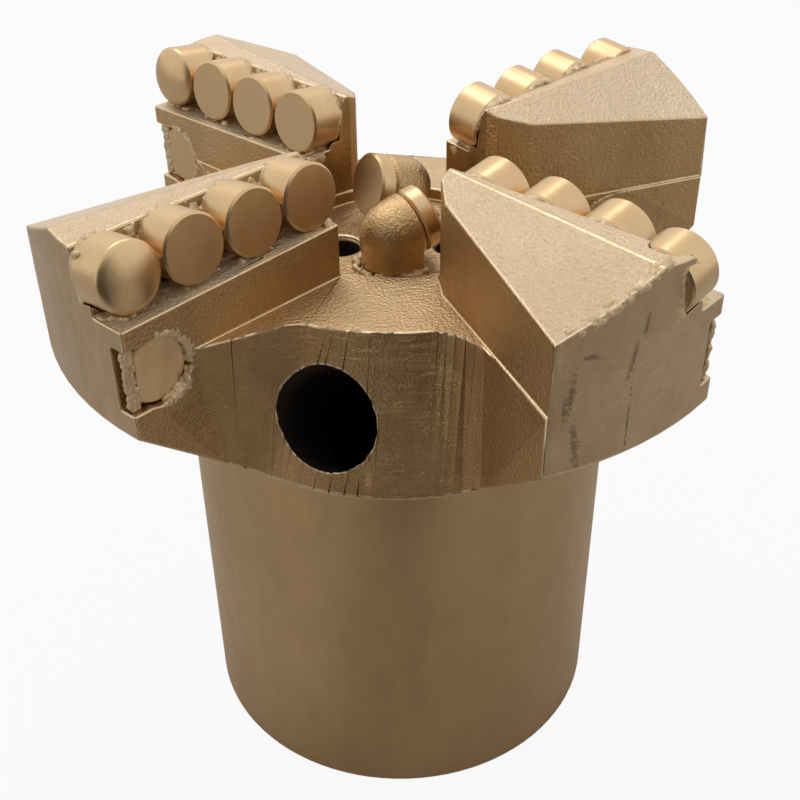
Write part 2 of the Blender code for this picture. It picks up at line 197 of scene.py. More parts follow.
class Wiring:
    """A node tree under construction."""

    def __init__(self, tree: bpy.types.NodeTree) -> None:
        """Take the tree that is to be wired."""
        self.tree = tree

    def node(self, kind: str, **settings: object) -> bpy.types.Node:
        """Add a node and set its properties.

        Args:
            kind: The node's type.
            settings: Values for the node's properties.

        Returns:
            The node.
        """
        node = self.tree.nodes.new(kind)
        for key, value in settings.items():
            setattr(node, key, value)
        return node

    def feed(self, target: bpy.types.NodeSocket, value: object) -> None:
        """Link a socket to another one, or set its value.

        Args:
            target: The socket to feed.
            value: A socket or a plain value.
        """
        if isinstance(value, bpy.types.NodeSocket):
            self.tree.links.new(value, target)
        else:
            target.default_value = value

    def maths(self, operation: str, *values: object) -> bpy.types.NodeSocket:
        """Add a Math node.

        Args:
            operation: What it works out.
            values: Its inputs.

        Returns:
            Its result.
        """
        node = self.node("ShaderNodeMath", operation=operation)
        for socket, value in zip(node.inputs, values):
            self.feed(socket, value)
        return node.outputs[0]

    def mapped(self, value: object, start: tuple[object, object] = (0.0, 1.0),
               end: Pair = (0.0, 1.0), kind: str = "SMOOTHSTEP") -> bpy.types.NodeSocket:
        """Rescale a value from one range to another, clamped.

        Args:
            value: The value.
            start: The range that it comes from.
            end: The range that it goes to.
            kind: How it runs between the ends.

        Returns:
            The rescaled value.
        """
        node = self.node("ShaderNodeMapRange", interpolation_type=kind)
        labels = ("Value", "From Min", "From Max", "To Min", "To Max")
        for label, item in zip(labels, (value, *start, *end)):
            self.feed(node.inputs[label], item)
        return node.outputs["Result"]

    def mixed(self, share: object, first: object, second: object) -> bpy.types.NodeSocket:
        """Blend two colours.

        Args:
            share: How much of the second one.
            first: A colour.
            second: Another colour.

        Returns:
            The blend.
        """
        node = self.node("ShaderNodeMix", data_type="RGBA")
        for index, value in ((0, share), (6, first), (7, second)):
            self.feed(node.inputs[index], value)
        return node.outputs[2]

    def length(self, place: object) -> bpy.types.NodeSocket:
        """Measure a vector.

        Args:
            place: The vector.

        Returns:
            Its length.
        """
        node = self.node("ShaderNodeVectorMath", operation="LENGTH")
        self.feed(node.inputs[0], place)
        return node.outputs["Value"]


class EffectGroup(Wiring):
    """A shader node group under construction, with its inputs and outputs by name."""

    def __init__(self, name: str, inputs: dict[str, object], outputs: Sequence[str]) -> None:
        """Make the group and its sockets.

        Args:
            name: The group's name.
            inputs: Each input's name and default, a number or a vector.
            outputs: The names of the values that it puts out.
        """
        super().__init__(bpy.data.node_groups.new(name, "ShaderNodeTree"))
        for label, default in inputs.items():
            kind = "NodeSocketFloat" if isinstance(default, float) else "NodeSocketVector"
            socket = self.tree.interface.new_socket(label, in_out="INPUT", socket_type=kind)
            socket.default_value = default
        for label in outputs:
            self.tree.interface.new_socket(label, in_out="OUTPUT",
                                           socket_type="NodeSocketFloat")
        self.entry = self.node("NodeGroupInput")
        self.exit = self.node("NodeGroupOutput")
        self.place = self.node("ShaderNodeTexCoord").outputs["Object"]

    def feed(self, target: bpy.types.NodeSocket, value: object) -> None:
        """Set a socket from a plain value, a group input's name or another socket."""
        super().feed(target, self.entry.outputs[value] if isinstance(value, str) else value)

    def give(self, label: str, value: bpy.types.NodeSocket) -> None:
        """Put a value out of the group."""
        self.feed(self.exit.inputs[label], value)

    def noise(self, place: object, scale: object, detail: float = 2.0, rough: float = 0.5,
              distortion: float = 0.0) -> bpy.types.NodeSocket:
        """Add a noise texture.

        Args:
            place: The coordinates.
            scale: How many lumps to a metre.
            detail: How many finer layers.
            rough: How strong they are.
            distortion: How far it is bent.

        Returns:
            Its value.
        """
        node = self.node("ShaderNodeTexNoise")
        for label, value in (("Vector", place), ("Scale", scale), ("Detail", detail),
                             ("Roughness", rough), ("Distortion", distortion)):
            self.feed(node.inputs[label], value)
        return node.outputs[0]

    def stretched(self, scale: Triple) -> bpy.types.NodeSocket:
        """Multiply Object coordinates by a scale on each axis.

        Args:
            scale: The scale.

        Returns:
            The scaled coordinates.
        """
        mapping = self.node("ShaderNodeMapping")
        self.feed(mapping.inputs["Scale"], scale)
        self.feed(mapping.inputs["Vector"], self.place)
        return mapping.outputs[0]

    def blend(self, first: object, share: float, second: object) -> bpy.types.NodeSocket:
        """Add two values by their shares, the second one's being what is left of 1.

        Args:
            first: A value.
            share: Its share.
            second: Another value.

        Returns:
            The sum.
        """
        return self.maths("ADD", self.maths("MULTIPLY", first, share),
                          self.maths("MULTIPLY", second, 1.0 - share))


def grain_effect() -> bpy.types.NodeTree:
    """Build the orange-peel grain of sprayed metal paint: a height, and a mask of flecks that
    carry a painted highlight.

    Returns:
        The group, which puts out a height and the mask of painted highlight flecks.
    """
    group = EffectGroup("sprayed_grain", {"Size": 0.0009}, ("Height", "Glint flecks"))
    scale = group.maths("DIVIDE", 1.0, "Size")
    peel = group.noise(group.place, scale, rough=0.45)
    fine = group.noise(group.place, group.maths("MULTIPLY", scale, 2.7), detail=3.0, rough=0.6)
    group.give("Height", group.blend(peel, 0.7, fine))
    # The flecks on the fine grain's peaks are lightened in the material: a painted highlight.
    group.give("Glint flecks", group.mapped(fine, (0.56, 0.70)))
    return group.tree


def cloud_effect() -> bpy.types.NodeTree:
    """Build the slow uneven tone of a hand-sprayed coat.

    Returns:
        The group, which puts out the amount of the lighter tone.
    """
    group = EffectGroup("coat_clouds", {"Size": 0.02}, ("Amount",))
    place = group.stretched((1.0, 1.0, 0.6))
    wide = group.noise(place, group.maths("DIVIDE", 1.0, "Size"), detail=3.0, rough=0.55)
    small = group.noise(place, group.maths("DIVIDE", 5.0, "Size"), detail=4.0, rough=0.6)
    group.give("Amount", group.mapped(group.blend(wide, 0.65, small), (0.34, 0.66)))
    return group.tree


def milled_effect() -> bpy.types.NodeTree:
    """Build upright milling bands and short level wrinkles, as on the slots and the gauge.

    Returns:
        The group, which puts out the height of both.
    """
    group = EffectGroup("milled_wall", {}, ("Bands", "Wrinkles"))
    bands = group.noise(group.stretched((75.0, 75.0, 5.0)), 1.0)
    wrinkles = group.noise(group.stretched((190.0, 190.0, 1500.0)), 1.0, detail=3.0, rough=0.6,
                           distortion=0.4)
    patches = group.noise(group.stretched((60.0, 60.0, 90.0)), 1.0)
    group.give("Bands", group.mapped(bands, (0.25, 0.75)))
    group.give("Wrinkles", group.maths("MULTIPLY", group.mapped(wrinkles, (0.48, 0.72)),
                                       group.mapped(patches, (0.38, 0.60))))
    return group.tree


def turned_effect() -> bpy.types.NodeTree:
    """Build the round tool marks that turning leaves about the bit's axis.

    Returns:
        The group, which puts out a height.
    """
    group = EffectGroup("turned_rings", {"Pitch": 0.0008}, ("Height",))
    place = group.stretched((1.0, 1.0, 0.0))
    bend = group.maths("MULTIPLY", group.noise(place, 45.0), 0.004)
    radius = group.maths("ADD", group.length(place), bend)
    line = group.node("ShaderNodeTexNoise", noise_dimensions="1D")
    group.feed(line.inputs["W"], group.maths("DIVIDE", radius, "Pitch"))
    line.inputs["Scale"].default_value = 1.0
    line.inputs["Detail"].default_value = 2.0
    patch = group.mapped(group.noise(place, 70.0), (0.40, 0.60))
    group.give("Height", group.maths("MULTIPLY", line.outputs[0], patch))
    return group.tree


def scar_effect() -> bpy.types.NodeTree:
    """Build one torn mark: a ragged spindle that is deepest along its middle.

    Returns:
        The group, which puts out how deep the mark is.
    """
    nowhere = (0.0, 0.0, 0.0)
    group = EffectGroup("torn_mark", {"Middle": nowhere, "Turn": nowhere,
                                      "Size": (0.001, 0.001, 0.005), "Raggedness": 0.6},
                        ("Mask",))
    mapping = group.node("ShaderNodeMapping", vector_type="TEXTURE")
    for label, value in (("Vector", group.place), ("Location", "Middle"),
                         ("Rotation", "Turn"), ("Scale", "Size")):
        group.feed(mapping.inputs[label], value)
    ragged = group.noise(group.place, 900.0, detail=4.0, rough=0.65)
    wobble = group.maths("MULTIPLY", group.maths("SUBTRACT", ragged, 0.5),
                         group.maths("MULTIPLY", "Raggedness", 4.0))
    reach = group.maths("ADD", group.length(mapping.outputs[0]), wobble)
    group.give("Mask", group.maths("SUBTRACT", 1.0, group.mapped(reach, (0.10, 1.0))))
    return group.tree


def edge_effect() -> bpy.types.NodeTree:
    """Build the worn, brightened edges of a coat: a broken line where the surface turns sharply,
    partly worn paint and partly a painted highlight.

    Returns:
        The group, which puts out how far an edge is worn and lit by a painted highlight.
    """
    group = EffectGroup("edge_wear_and_glint", {"Low": 0.53, "High": 0.62}, ("Worn glint",))
    turn = group.node("ShaderNodeNewGeometry").outputs["Pointiness"]
    broken = group.noise(group.place, 420.0, detail=3.0, rough=0.6)
    ragged = group.maths("MULTIPLY_ADD", group.maths("SUBTRACT", broken, 0.5), 0.10, turn)
    group.give("Worn glint", group.mapped(ragged, ("Low", "High")))
    return group.tree


class Effects:
    """The shared shader effects, each built once."""

    makers: dict[str, Callable[[], bpy.types.NodeTree]] = {
        "grain": grain_effect, "clouds": cloud_effect, "milled": milled_effect,
        "turned": turned_effect, "scar": scar_effect, "edge": edge_effect}
    built: dict[str, bpy.types.NodeTree] = {}

    @classmethod
    def add(cls, wiring: Wiring, name: str, **values: object) -> bpy.types.Node:
        """Add an effect to a material, made on first use.

        Args:
            wiring: The material's nodes.
            name: The effect's name.
            values: Values for its inputs.

        Returns:
            The effect's node.
        """
        if name not in cls.built:
            cls.built[name] = cls.makers[name]()
        node = wiring.node("ShaderNodeGroup", node_tree=cls.built[name])
        for key, value in values.items():
            node.inputs[key].default_value = value
        return node


@dataclass(frozen=True)
class TornMark:
    """A torn or scratched place on the coat.

    Its middle is a point in the world, its turn is about Z in degrees, and its size is the half
    width along the surface, the half depth through it and the half height.
    """

    middle: Triple
    turn: float
    size: Triple
    lean: float = 0.0
    ragged: float = 0.6


@dataclass(frozen=True)
class SprayFinish:
    """A sprayed bronze coat on one kind of surface, with painted highlights on its grain's
    flecks, and on wrinkles and sharp edges where these are set.
    """

    name: str
    colour: Triple
    shade: Triple
    roughness: float
    metallic: float = 1.0
    grain_size: float = 0.0009
    grain_depth: float = 0.00006
    cloud_size: float = 0.02
    milled: float = 0.0
    wrinkled: float = 0.0
    # How far the wrinkles are lightened into a painted highlight.
    wrinkle_glint: float = 0.18
    turned: float = 0.0
    # How far the grain's flecks, and then sharp edges, are lightened into a painted highlight; on
    # edges it also stands for worn paint.
    fleck_glint: float = 0.25
    edge_wear_and_glint: float = 0.0
    marks: tuple[TornMark, ...] = ()
    mark_depth: float = 0.0004
    mark_shade: float = 0.40
    mark_share: float = 0.62
    rough_spread: Pair = (1.12, 0.90)

    def lighter(self, gain: float, lift: float) -> tuple[float, ...]:
        """Return the coat's colour made lighter, as a painted highlight."""
        return (*(min(1.0, c * gain + lift) for c in self.colour), 1.0)

    def material(self) -> bpy.types.Material:
        """Build the coat's material.

        Returns:
            The material, whose Principled shader stands in it.
        """
        material = bpy.data.materials.new(self.name)
        material.use_nodes = True
        wiring = Wiring(material.node_tree)
        shader = material.node_tree.nodes["Principled BSDF"]
        shader.inputs["Metallic"].default_value = self.metallic
        grain = Effects.add(wiring, "grain", Size=self.grain_size).outputs
        clouds = Effects.add(wiring, "clouds", Size=self.cloud_size).outputs["Amount"]
        # glint is a painted highlight colour: the grain's flecks and the wrinkles are lightened
        # towards it.
        glint = self.lighter(1.35, 0.03)
        tone = wiring.mixed(clouds, (*self.shade, 1.0), (*self.colour, 1.0))
        tone = wiring.mixed(wiring.maths("MULTIPLY", grain["Glint flecks"], self.fleck_glint), tone, glint)
        height = wiring.maths("MULTIPLY", grain["Height"], self.grain_depth)
        layers = []
        if self.milled or self.wrinkled:
            wall = Effects.add(wiring, "milled").outputs
            layers += [(wall["Bands"], self.milled), (wall["Wrinkles"], self.wrinkled)]
            # The wrinkles also lighten the colour: a painted highlight where they catch the
            # light.
            light = wiring.maths("MULTIPLY", wall["Wrinkles"], self.wrinkle_glint)
            tone = wiring.mixed(light, tone, glint)
        # Sharp edges are lightened: partly worn paint, partly a painted highlight.
        if self.edge_wear_and_glint:
            worn_glint = Effects.add(wiring, "edge").outputs["Worn glint"]
            tone = wiring.mixed(wiring.maths("MULTIPLY", worn_glint, self.edge_wear_and_glint), tone,
                                self.lighter(1.45, 0.06))
        if self.turned:
            layers.append((Effects.add(wiring, "turned").outputs["Height"], self.turned))
        dark = (*(c * self.mark_shade for c in self.shade), 1.0)
        for mark in self.marks:
            turn = (0.0, math.radians(mark.lean), math.radians(mark.turn))
            torn = Effects.add(wiring, "scar", Middle=mark.middle, Turn=turn, Size=mark.size,
                               Raggedness=mark.ragged).outputs["Mask"]
            layers.append((torn, -self.mark_depth))
            tone = wiring.mixed(wiring.maths("MULTIPLY", torn, self.mark_share), tone, dark)
        for layer, depth in layers:
            height = wiring.maths("ADD", height, wiring.maths("MULTIPLY", layer, depth))
        wiring.feed(shader.inputs["Base Color"], tone)
        ends = tuple(self.roughness * share for share in self.rough_spread)
        wiring.feed(shader.inputs["Roughness"], wiring.mapped(clouds, end=ends, kind="LINEAR"))
        bump = wiring.node("ShaderNodeBump")
        for label, value in (("Strength", 1.0), ("Distance", 1.0), ("Height", height)):
            wiring.feed(bump.inputs[label], value)
        wiring.feed(shader.inputs["Normal"], bump.outputs["Normal"])
        return material


class Zone(Enum):
    """The kinds of surface on the body, each with its own coat."""

    SHANK = 0
    GAUGE = 1
    SLOT = 2
    FLOOR = 3
    FLANK = 4
    SLOPE = 5
    POCKET = 6
    BORE = 7
    EDGE = 8
    LEDGE = 9


GAUGE_MARKS = (
    TornMark((0.0268, -0.0701, 0.1275), 21.0, (0.0009, 0.0020, 0.0050), lean=5.0),
    TornMark((0.0281, -0.0696, 0.1165), 22.0, (0.0010, 0.0020, 0.0062), lean=-7.0),
    TornMark((0.0256, -0.0705, 0.1245), 20.0, (0.0005, 0.0020, 0.0040), lean=4.0),
    TornMark((0.0398, -0.0636, 0.1372), 32.0, (0.0006, 0.0020, 0.0030), lean=8.0),
    TornMark((0.0377, -0.0648, 0.1305), 30.5, (0.0007, 0.0020, 0.0044), lean=10.0),
    TornMark((0.0381, -0.0646, 0.1175), 30.5, (0.0003, 0.0020, 0.0090), ragged=0.9),
    TornMark((0.0300, -0.0688, 0.1340), 24.0, (0.0026, 0.0020, 0.0009), lean=12.0),
    TornMark((0.0415, -0.0625, 0.1055), 34.0, (0.0007, 0.0020, 0.0007)),
)
BODY_COATS: dict[Zone, SprayFinish] = {
    Zone.SHANK: SprayFinish("shank_coat", (0.550, 0.365, 0.185), (0.485, 0.318, 0.158),
                            roughness=0.40, grain_size=0.0010, grain_depth=0.00004,
                            cloud_size=0.03, fleck_glint=0.12),
    Zone.GAUGE: SprayFinish("gauge_coat", (0.580, 0.410, 0.245), (0.500, 0.345, 0.198),
                            roughness=0.44, grain_size=0.0007, grain_depth=0.00012,
                            milled=0.00010, wrinkled=0.00003, cloud_size=0.012,
                            marks=GAUGE_MARKS),
    Zone.SLOT: SprayFinish("slot_coat", (0.540, 0.335, 0.155), (0.400, 0.235, 0.105),
                           roughness=0.42, grain_size=0.0006, grain_depth=0.00036,
                           milled=0.00004, wrinkled=0.00010),
    Zone.FLOOR: SprayFinish("floor_coat", (0.600, 0.420, 0.235), (0.520, 0.355, 0.192),
                            roughness=0.40, grain_size=0.0007, grain_depth=0.00030,
                            turned=0.00010),
    Zone.FLANK: SprayFinish("flank_coat", (0.580, 0.362, 0.168), (0.500, 0.305, 0.138),
                            roughness=0.42, grain_size=0.0007, grain_depth=0.00045),
    # The up-facing slopes get a lighter copy of the same paint: painted light where the lamps
    # fall.
    Zone.SLOPE: SprayFinish("slope_coat_painted_light", (0.720, 0.550, 0.370), (0.660, 0.500, 0.330),
                            roughness=0.44, grain_size=0.0007, grain_depth=0.00080,
                            fleck_glint=0.70),
    # The ledge gets a much lighter, less metallic copy of the paint: painted light against the
    # compacts' shade.
    Zone.LEDGE: SprayFinish("ledge_coat_painted_light", (0.860, 0.700, 0.480), (0.760, 0.590, 0.380),
                            roughness=0.50, metallic=0.45, grain_size=0.0008,
                            grain_depth=0.00050, fleck_glint=0.60),
    # The compacts' pockets get a darker copy of the paint: painted shade in the recesses.
    Zone.POCKET: SprayFinish("pocket_coat_painted_shade", (0.500, 0.320, 0.150), (0.300, 0.180, 0.080),
                             roughness=0.45, grain_size=0.0012, grain_depth=0.00020),
    # The rounded edges get a lighter, glossier copy of the paint: partly thick, rubbed paint,
    # partly a painted highlight.
    Zone.EDGE: SprayFinish("edge_coat_painted_highlight", (0.700, 0.530, 0.330), (0.600, 0.435, 0.250),
                           roughness=0.30, grain_size=0.0006, grain_depth=0.00012,
                           cloud_size=0.004, fleck_glint=0.35),
    # The socket, ports and nozzle holes get a near-black coat: painted shade inside the holes.
    Zone.BORE: SprayFinish("bore_painted_shade", (0.060, 0.045, 0.032), (0.035, 0.026, 0.020),
                           roughness=0.60, metallic=0.6, grain_depth=0.00010),
}


@dataclass
class Crown:
    """The one-piece body: shank, cone, four blades and the floor between them."""

    shank_top: float = 0.0885
    gauge_r: float = 0.075
    floor_z: float = 0.124
    recess_z: float = 0.1214
    slot_r: float = 0.0655
    socket_r: float = 0.0392
    passage_r: float = 0.0205
    pocket_r: float = 0.00722
    pocket_depth: float = 0.0088
    pocket_front: float = 0.001
    port_r: float = 0.0101
    port_mouth_r: float = 0.046
    port_z: float = 0.105
    port_angle: float = 25.5
    port_rise: float = 39.0
    merge: float = 0.00002
    margin: float = 0.0004
    band: float = 0.0012
    hanging: float = -0.5
    sloping: float = 0.25
    upright: float = 0.6
    level: float = 0.9
    dead_level: float = 0.97
    shortest_edge: float = 0.0008
    stray: float = 0.00022
    ledge_low: float = 0.1332
    ledge_high: float = 0.1362
    thinnest: float = 0.0012
    weld: float = 0.000002
    edge_width: float = 0.00040
    flat_turn: float = 0.7
    sharp_turn: float = 26.0
    smooth_turn: float = 34.0
    cutter_axes: list[tuple[Vector, Vector]] = field(default_factory=list)

    def build(self) -> bpy.types.Object:
        """Dress a copy of the body with soft edges and a coat for each kind of surface.

        Returns:
            The dressed body.
        """
        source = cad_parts["bit_body"]
        body = bpy.data.objects.new("coated_body", source.data.copy())
        bpy.context.scene.collection.objects.link(body)
        body.data.materials.clear()
        edit(body)
        bpy.ops.mesh.select_mode(type="FACE")
        bpy.ops.mesh.remove_doubles(threshold=self.weld)
        self.leave_out(body, self.on_slot_wall)
        bpy.ops.mesh.remove_doubles(threshold=self.merge)
        self.leave_out(body, lambda face: self.on_slot_wall(face) or self.on_floor(face))
        bpy.ops.mesh.dissolve_limited(angle_limit=math.radians(self.flat_turn))
        self.mark_edges(body)
        for zone in Zone:
            body.data.materials.append(BODY_COATS[zone].material())
        for face in body.data.polygons:
            face.material_index = self.zone_of(body, face).value
        # The bevel's new faces take the edge coat, whose lighter colour is partly a painted
        # highlight.
        apply_modifier(body, "BEVEL", width=self.edge_width, segments=3, limit_method="WEIGHT",
                       use_clamp_overlap=False, miter_outer="MITER_ARC",
                       material=Zone.EDGE.value)
        self.pull_in(body, source)
        smooth(body, self.smooth_turn)
        self.round_slots(body)
        apply_modifier(body, "WEIGHTED_NORMAL", keep_sharp=True, weight=60)
        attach(body, "root")
        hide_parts("bit_body")
        return body

    @staticmethod
    def leave_out(body: bpy.types.Object,
                  unwanted: Callable[[bpy.types.MeshPolygon], bool]) -> None:
        """Select all faces but some, with the body open for editing.

        Args:
            body: The body, open for editing.
            unwanted: Tells whether a face is left out.
        """
        close_edit()
        for face in body.data.polygons:
            face.select = not unwanted(face)
        bpy.ops.object.mode_set(mode="EDIT")

    def round_slots(self, body: bpy.types.Object) -> None:
        """Clear the sharp marks that thin faces leave inside the curved slot walls.

        Args:
            body: The dressed body.
        """
        sides: dict[EdgeKey, list[float]] = {}
        corners = body.data.vertices
        for face in body.data.polygons:
            if self.on_slot_wall(face):
                longest = max((corners[a].co - corners[b].co).length for a, b in face.edge_keys)
                for key in face.edge_keys:
                    sides.setdefault(key, []).append(face.area / max(longest, LEAST))
        for edge in body.data.edges:
            widths = sides.get(edge.key, [])
            if len(widths) == 2 and min(widths) < self.thinnest:
                edge.use_edge_sharp = False

    def on_slot_wall(self, face: bpy.types.MeshPolygon) -> bool:
        """Tell whether a face belongs to a slot's upright curved wall.

        Args:
            face: The face.

        Returns:
            Whether it does.
        """
        radius = math.hypot(face.center.x, face.center.y)
        return (abs(face.normal.z) < self.upright
                and self.shank_top < face.center.z < self.floor_z - self.margin
                and self.socket_r < radius < self.slot_r)

    def on_floor(self, face: bpy.types.MeshPolygon) -> bool:
        """Tell whether a face is level and not above the crown's floor."""
        return face.normal.z >= 0.99 and face.center.z <= self.floor_z + 0.0005

    def mark_edges(self, body: bpy.types.Object) -> None:
        """Give every sharp edge that is long enough to round a bevel weight.

        Args:
            body: The body, open for editing.
        """
        bpy.ops.mesh.select_all(action="DESELECT")
        bpy.ops.mesh.select_mode(type="EDGE")
        bpy.ops.mesh.edges_select_sharp(sharpness=math.radians(self.sharp_turn))
        close_edit()
        corners = body.data.vertices
        slivers = self.slivers(body)
        for edge in body.data.edges:
            first, second = (corners[i].co for i in edge.vertices)
            length = (first - second).length
            edge.select = (edge.select and length > self.shortest_edge
                           and edge.key not in slivers)
        bpy.ops.object.mode_set(mode="EDIT")
        bpy.ops.transform.edge_bevelweight(value=1.0)
        close_edit()

    def slivers(self, body: bpy.types.Object) -> set[EdgeKey]:
        """Find the edges inside the curved slots, which aren't real ones.

        Args:
            body: The body.

        Returns:
            The edges' keys.
        """
        sides: dict[EdgeKey, list[tuple[bool, bool]]] = {}
        corners = body.data.vertices
        for face in body.data.polygons:
            slot = self.zone_of(body, face) is Zone.SLOT
            for key in face.edge_keys:
                length = (corners[key[0]].co - corners[key[1]].co).length
                thin = face.area / max(length, LEAST) < self.thinnest
                sides.setdefault(key, []).append((slot, thin))
        return {key for key, faces in sides.items()
                if all(slot for slot, _ in faces) and any(thin for _, thin in faces)}

    def pull_in(self, body: bpy.types.Object, source: bpy.types.Object) -> None:
        """Lay corners that the rounding threw off the body back on its surface.

        Args:
            body: The rounded body.
            source: The plain body.
        """
        plain = source.data
        tree = BVHTree.FromPolygons([v.co for v in plain.vertices],
                                    [tuple(p.vertices) for p in plain.polygons])
        moved = 0
        for corner in body.data.vertices:
            near, _, _, distance = tree.find_nearest(corner.co)
            if distance > self.stray:
                corner.co = near
                moved += 1
        LOG.info("corners laid back: %d", moved)

    def zone_of(self, body: bpy.types.Object, face: bpy.types.MeshPolygon) -> Zone:
        """Tell which kind of surface a face belongs to.

        Args:
            body: The body.
            face: The face.

        Returns:
            Its zone.
        """
        centre, normal = face.center, face.normal
        radius = math.hypot(centre.x, centre.y)
        outward = (normal.x * centre.x + normal.y * centre.y) / max(radius, LEAST)
        # Faces inside the holes take the near-black bore coat, which is painted shade.
        if self.in_bore(body, face, radius):
            return Zone.BORE
        if centre.z < self.shank_top - 0.0006:
            return Zone.SHANK
        if (normal.z < self.hanging
                or (radius > self.gauge_r - self.band and outward > self.level)):
            return Zone.GAUGE
        if normal.z > self.level and centre.z < self.floor_z + self.margin:
            return Zone.FLOOR
        # Level ledge faces take the lighter ledge coat, which is painted light.
        if normal.z > self.dead_level and self.ledge_low < centre.z < self.ledge_high:
            return Zone.LEDGE
        # Faces in the pockets take the darker pocket coat, which is painted shade.
        if self.in_pocket(centre):
            return Zone.POCKET
        # Up-facing faces above the floor take the lighter slope coat, which is painted light.
        if normal.z > self.sloping and centre.z > self.floor_z:
            return Zone.SLOPE
        if centre.z < self.floor_z - self.margin and radius < self.slot_r:
            return Zone.SLOT
        return Zone.FLANK

    def in_bore(self, body: bpy.types.Object, face: bpy.types.MeshPolygon,
                radius: float) -> bool:
        """Tell whether a face belongs to the socket, a port or a nozzle hole.

        Args:
            body: The body.
            face: The face.
            radius: Its distance from the bit's axis.

        Returns:
            Whether it lies inside.
        """
        centre = face.center
        if radius < self.socket_r and centre.z < self.shank_top:
            return True
        if radius < self.passage_r and centre.z < self.recess_z - 0.0003:
            return True
        corners = [body.data.vertices[i].co for i in face.vertices]
        rise = math.radians(self.port_rise)
        for turn in (0.0, 180.0):
            along = math.radians(FIRST_BLADE + self.port_angle + turn)
            mouth = Vector((self.port_mouth_r * math.cos(along),
                            self.port_mouth_r * math.sin(along), self.port_z))
            way = Vector((math.cos(along) * math.cos(rise), math.sin(along) * math.cos(rise),
                          math.sin(rise)))
            middle, *rest = ((point - mouth) - way * (point - mouth).dot(way)
                             for point in (centre, *corners))
            if (middle.normalized().dot(face.normal) < -self.level
                    and abs(middle.length - self.port_r) < self.margin
                    and all(abs(gap.length - self.port_r) < self.band for gap in rest)):
                return True
        return False

    def in_pocket(self, centre: Vector) -> bool:
        """Tell whether a face lies in a compact's brazing pocket.

        Args:
            centre: The face's middle.

        Returns:
            Whether it does.
        """
        for origin, way in self.cutter_axes:
            depth = (centre - origin).dot(way)
            gap = ((centre - origin) - way * depth).length
            if gap < self.pocket_r and -self.pocket_depth < depth < self.pocket_front:
                return True
        return False


BRAZE_COAT = SprayFinish("braze_coat", (0.760, 0.580, 0.360), (0.620, 0.440, 0.245),
                         roughness=0.42, metallic=0.55, grain_size=0.0006,
                         grain_depth=0.00030, cloud_size=0.004, fleck_glint=0.5,
                         edge_wear_and_glint=0.7)
STUD_COAT = SprayFinish("stud_coat", (0.600, 0.395, 0.195), (0.520, 0.332, 0.158),
                        roughness=0.33, grain_size=0.0006, grain_depth=0.00034,
                        cloud_size=0.008, fleck_glint=0.25, edge_wear_and_glint=0.5)
CUTTER_COAT = SprayFinish("compact_coat", (0.700, 0.480, 0.255), (0.650, 0.440, 0.230),
                          roughness=0.35, grain_size=0.0012, grain_depth=0.00002,
                          cloud_size=0.006, fleck_glint=0.06)


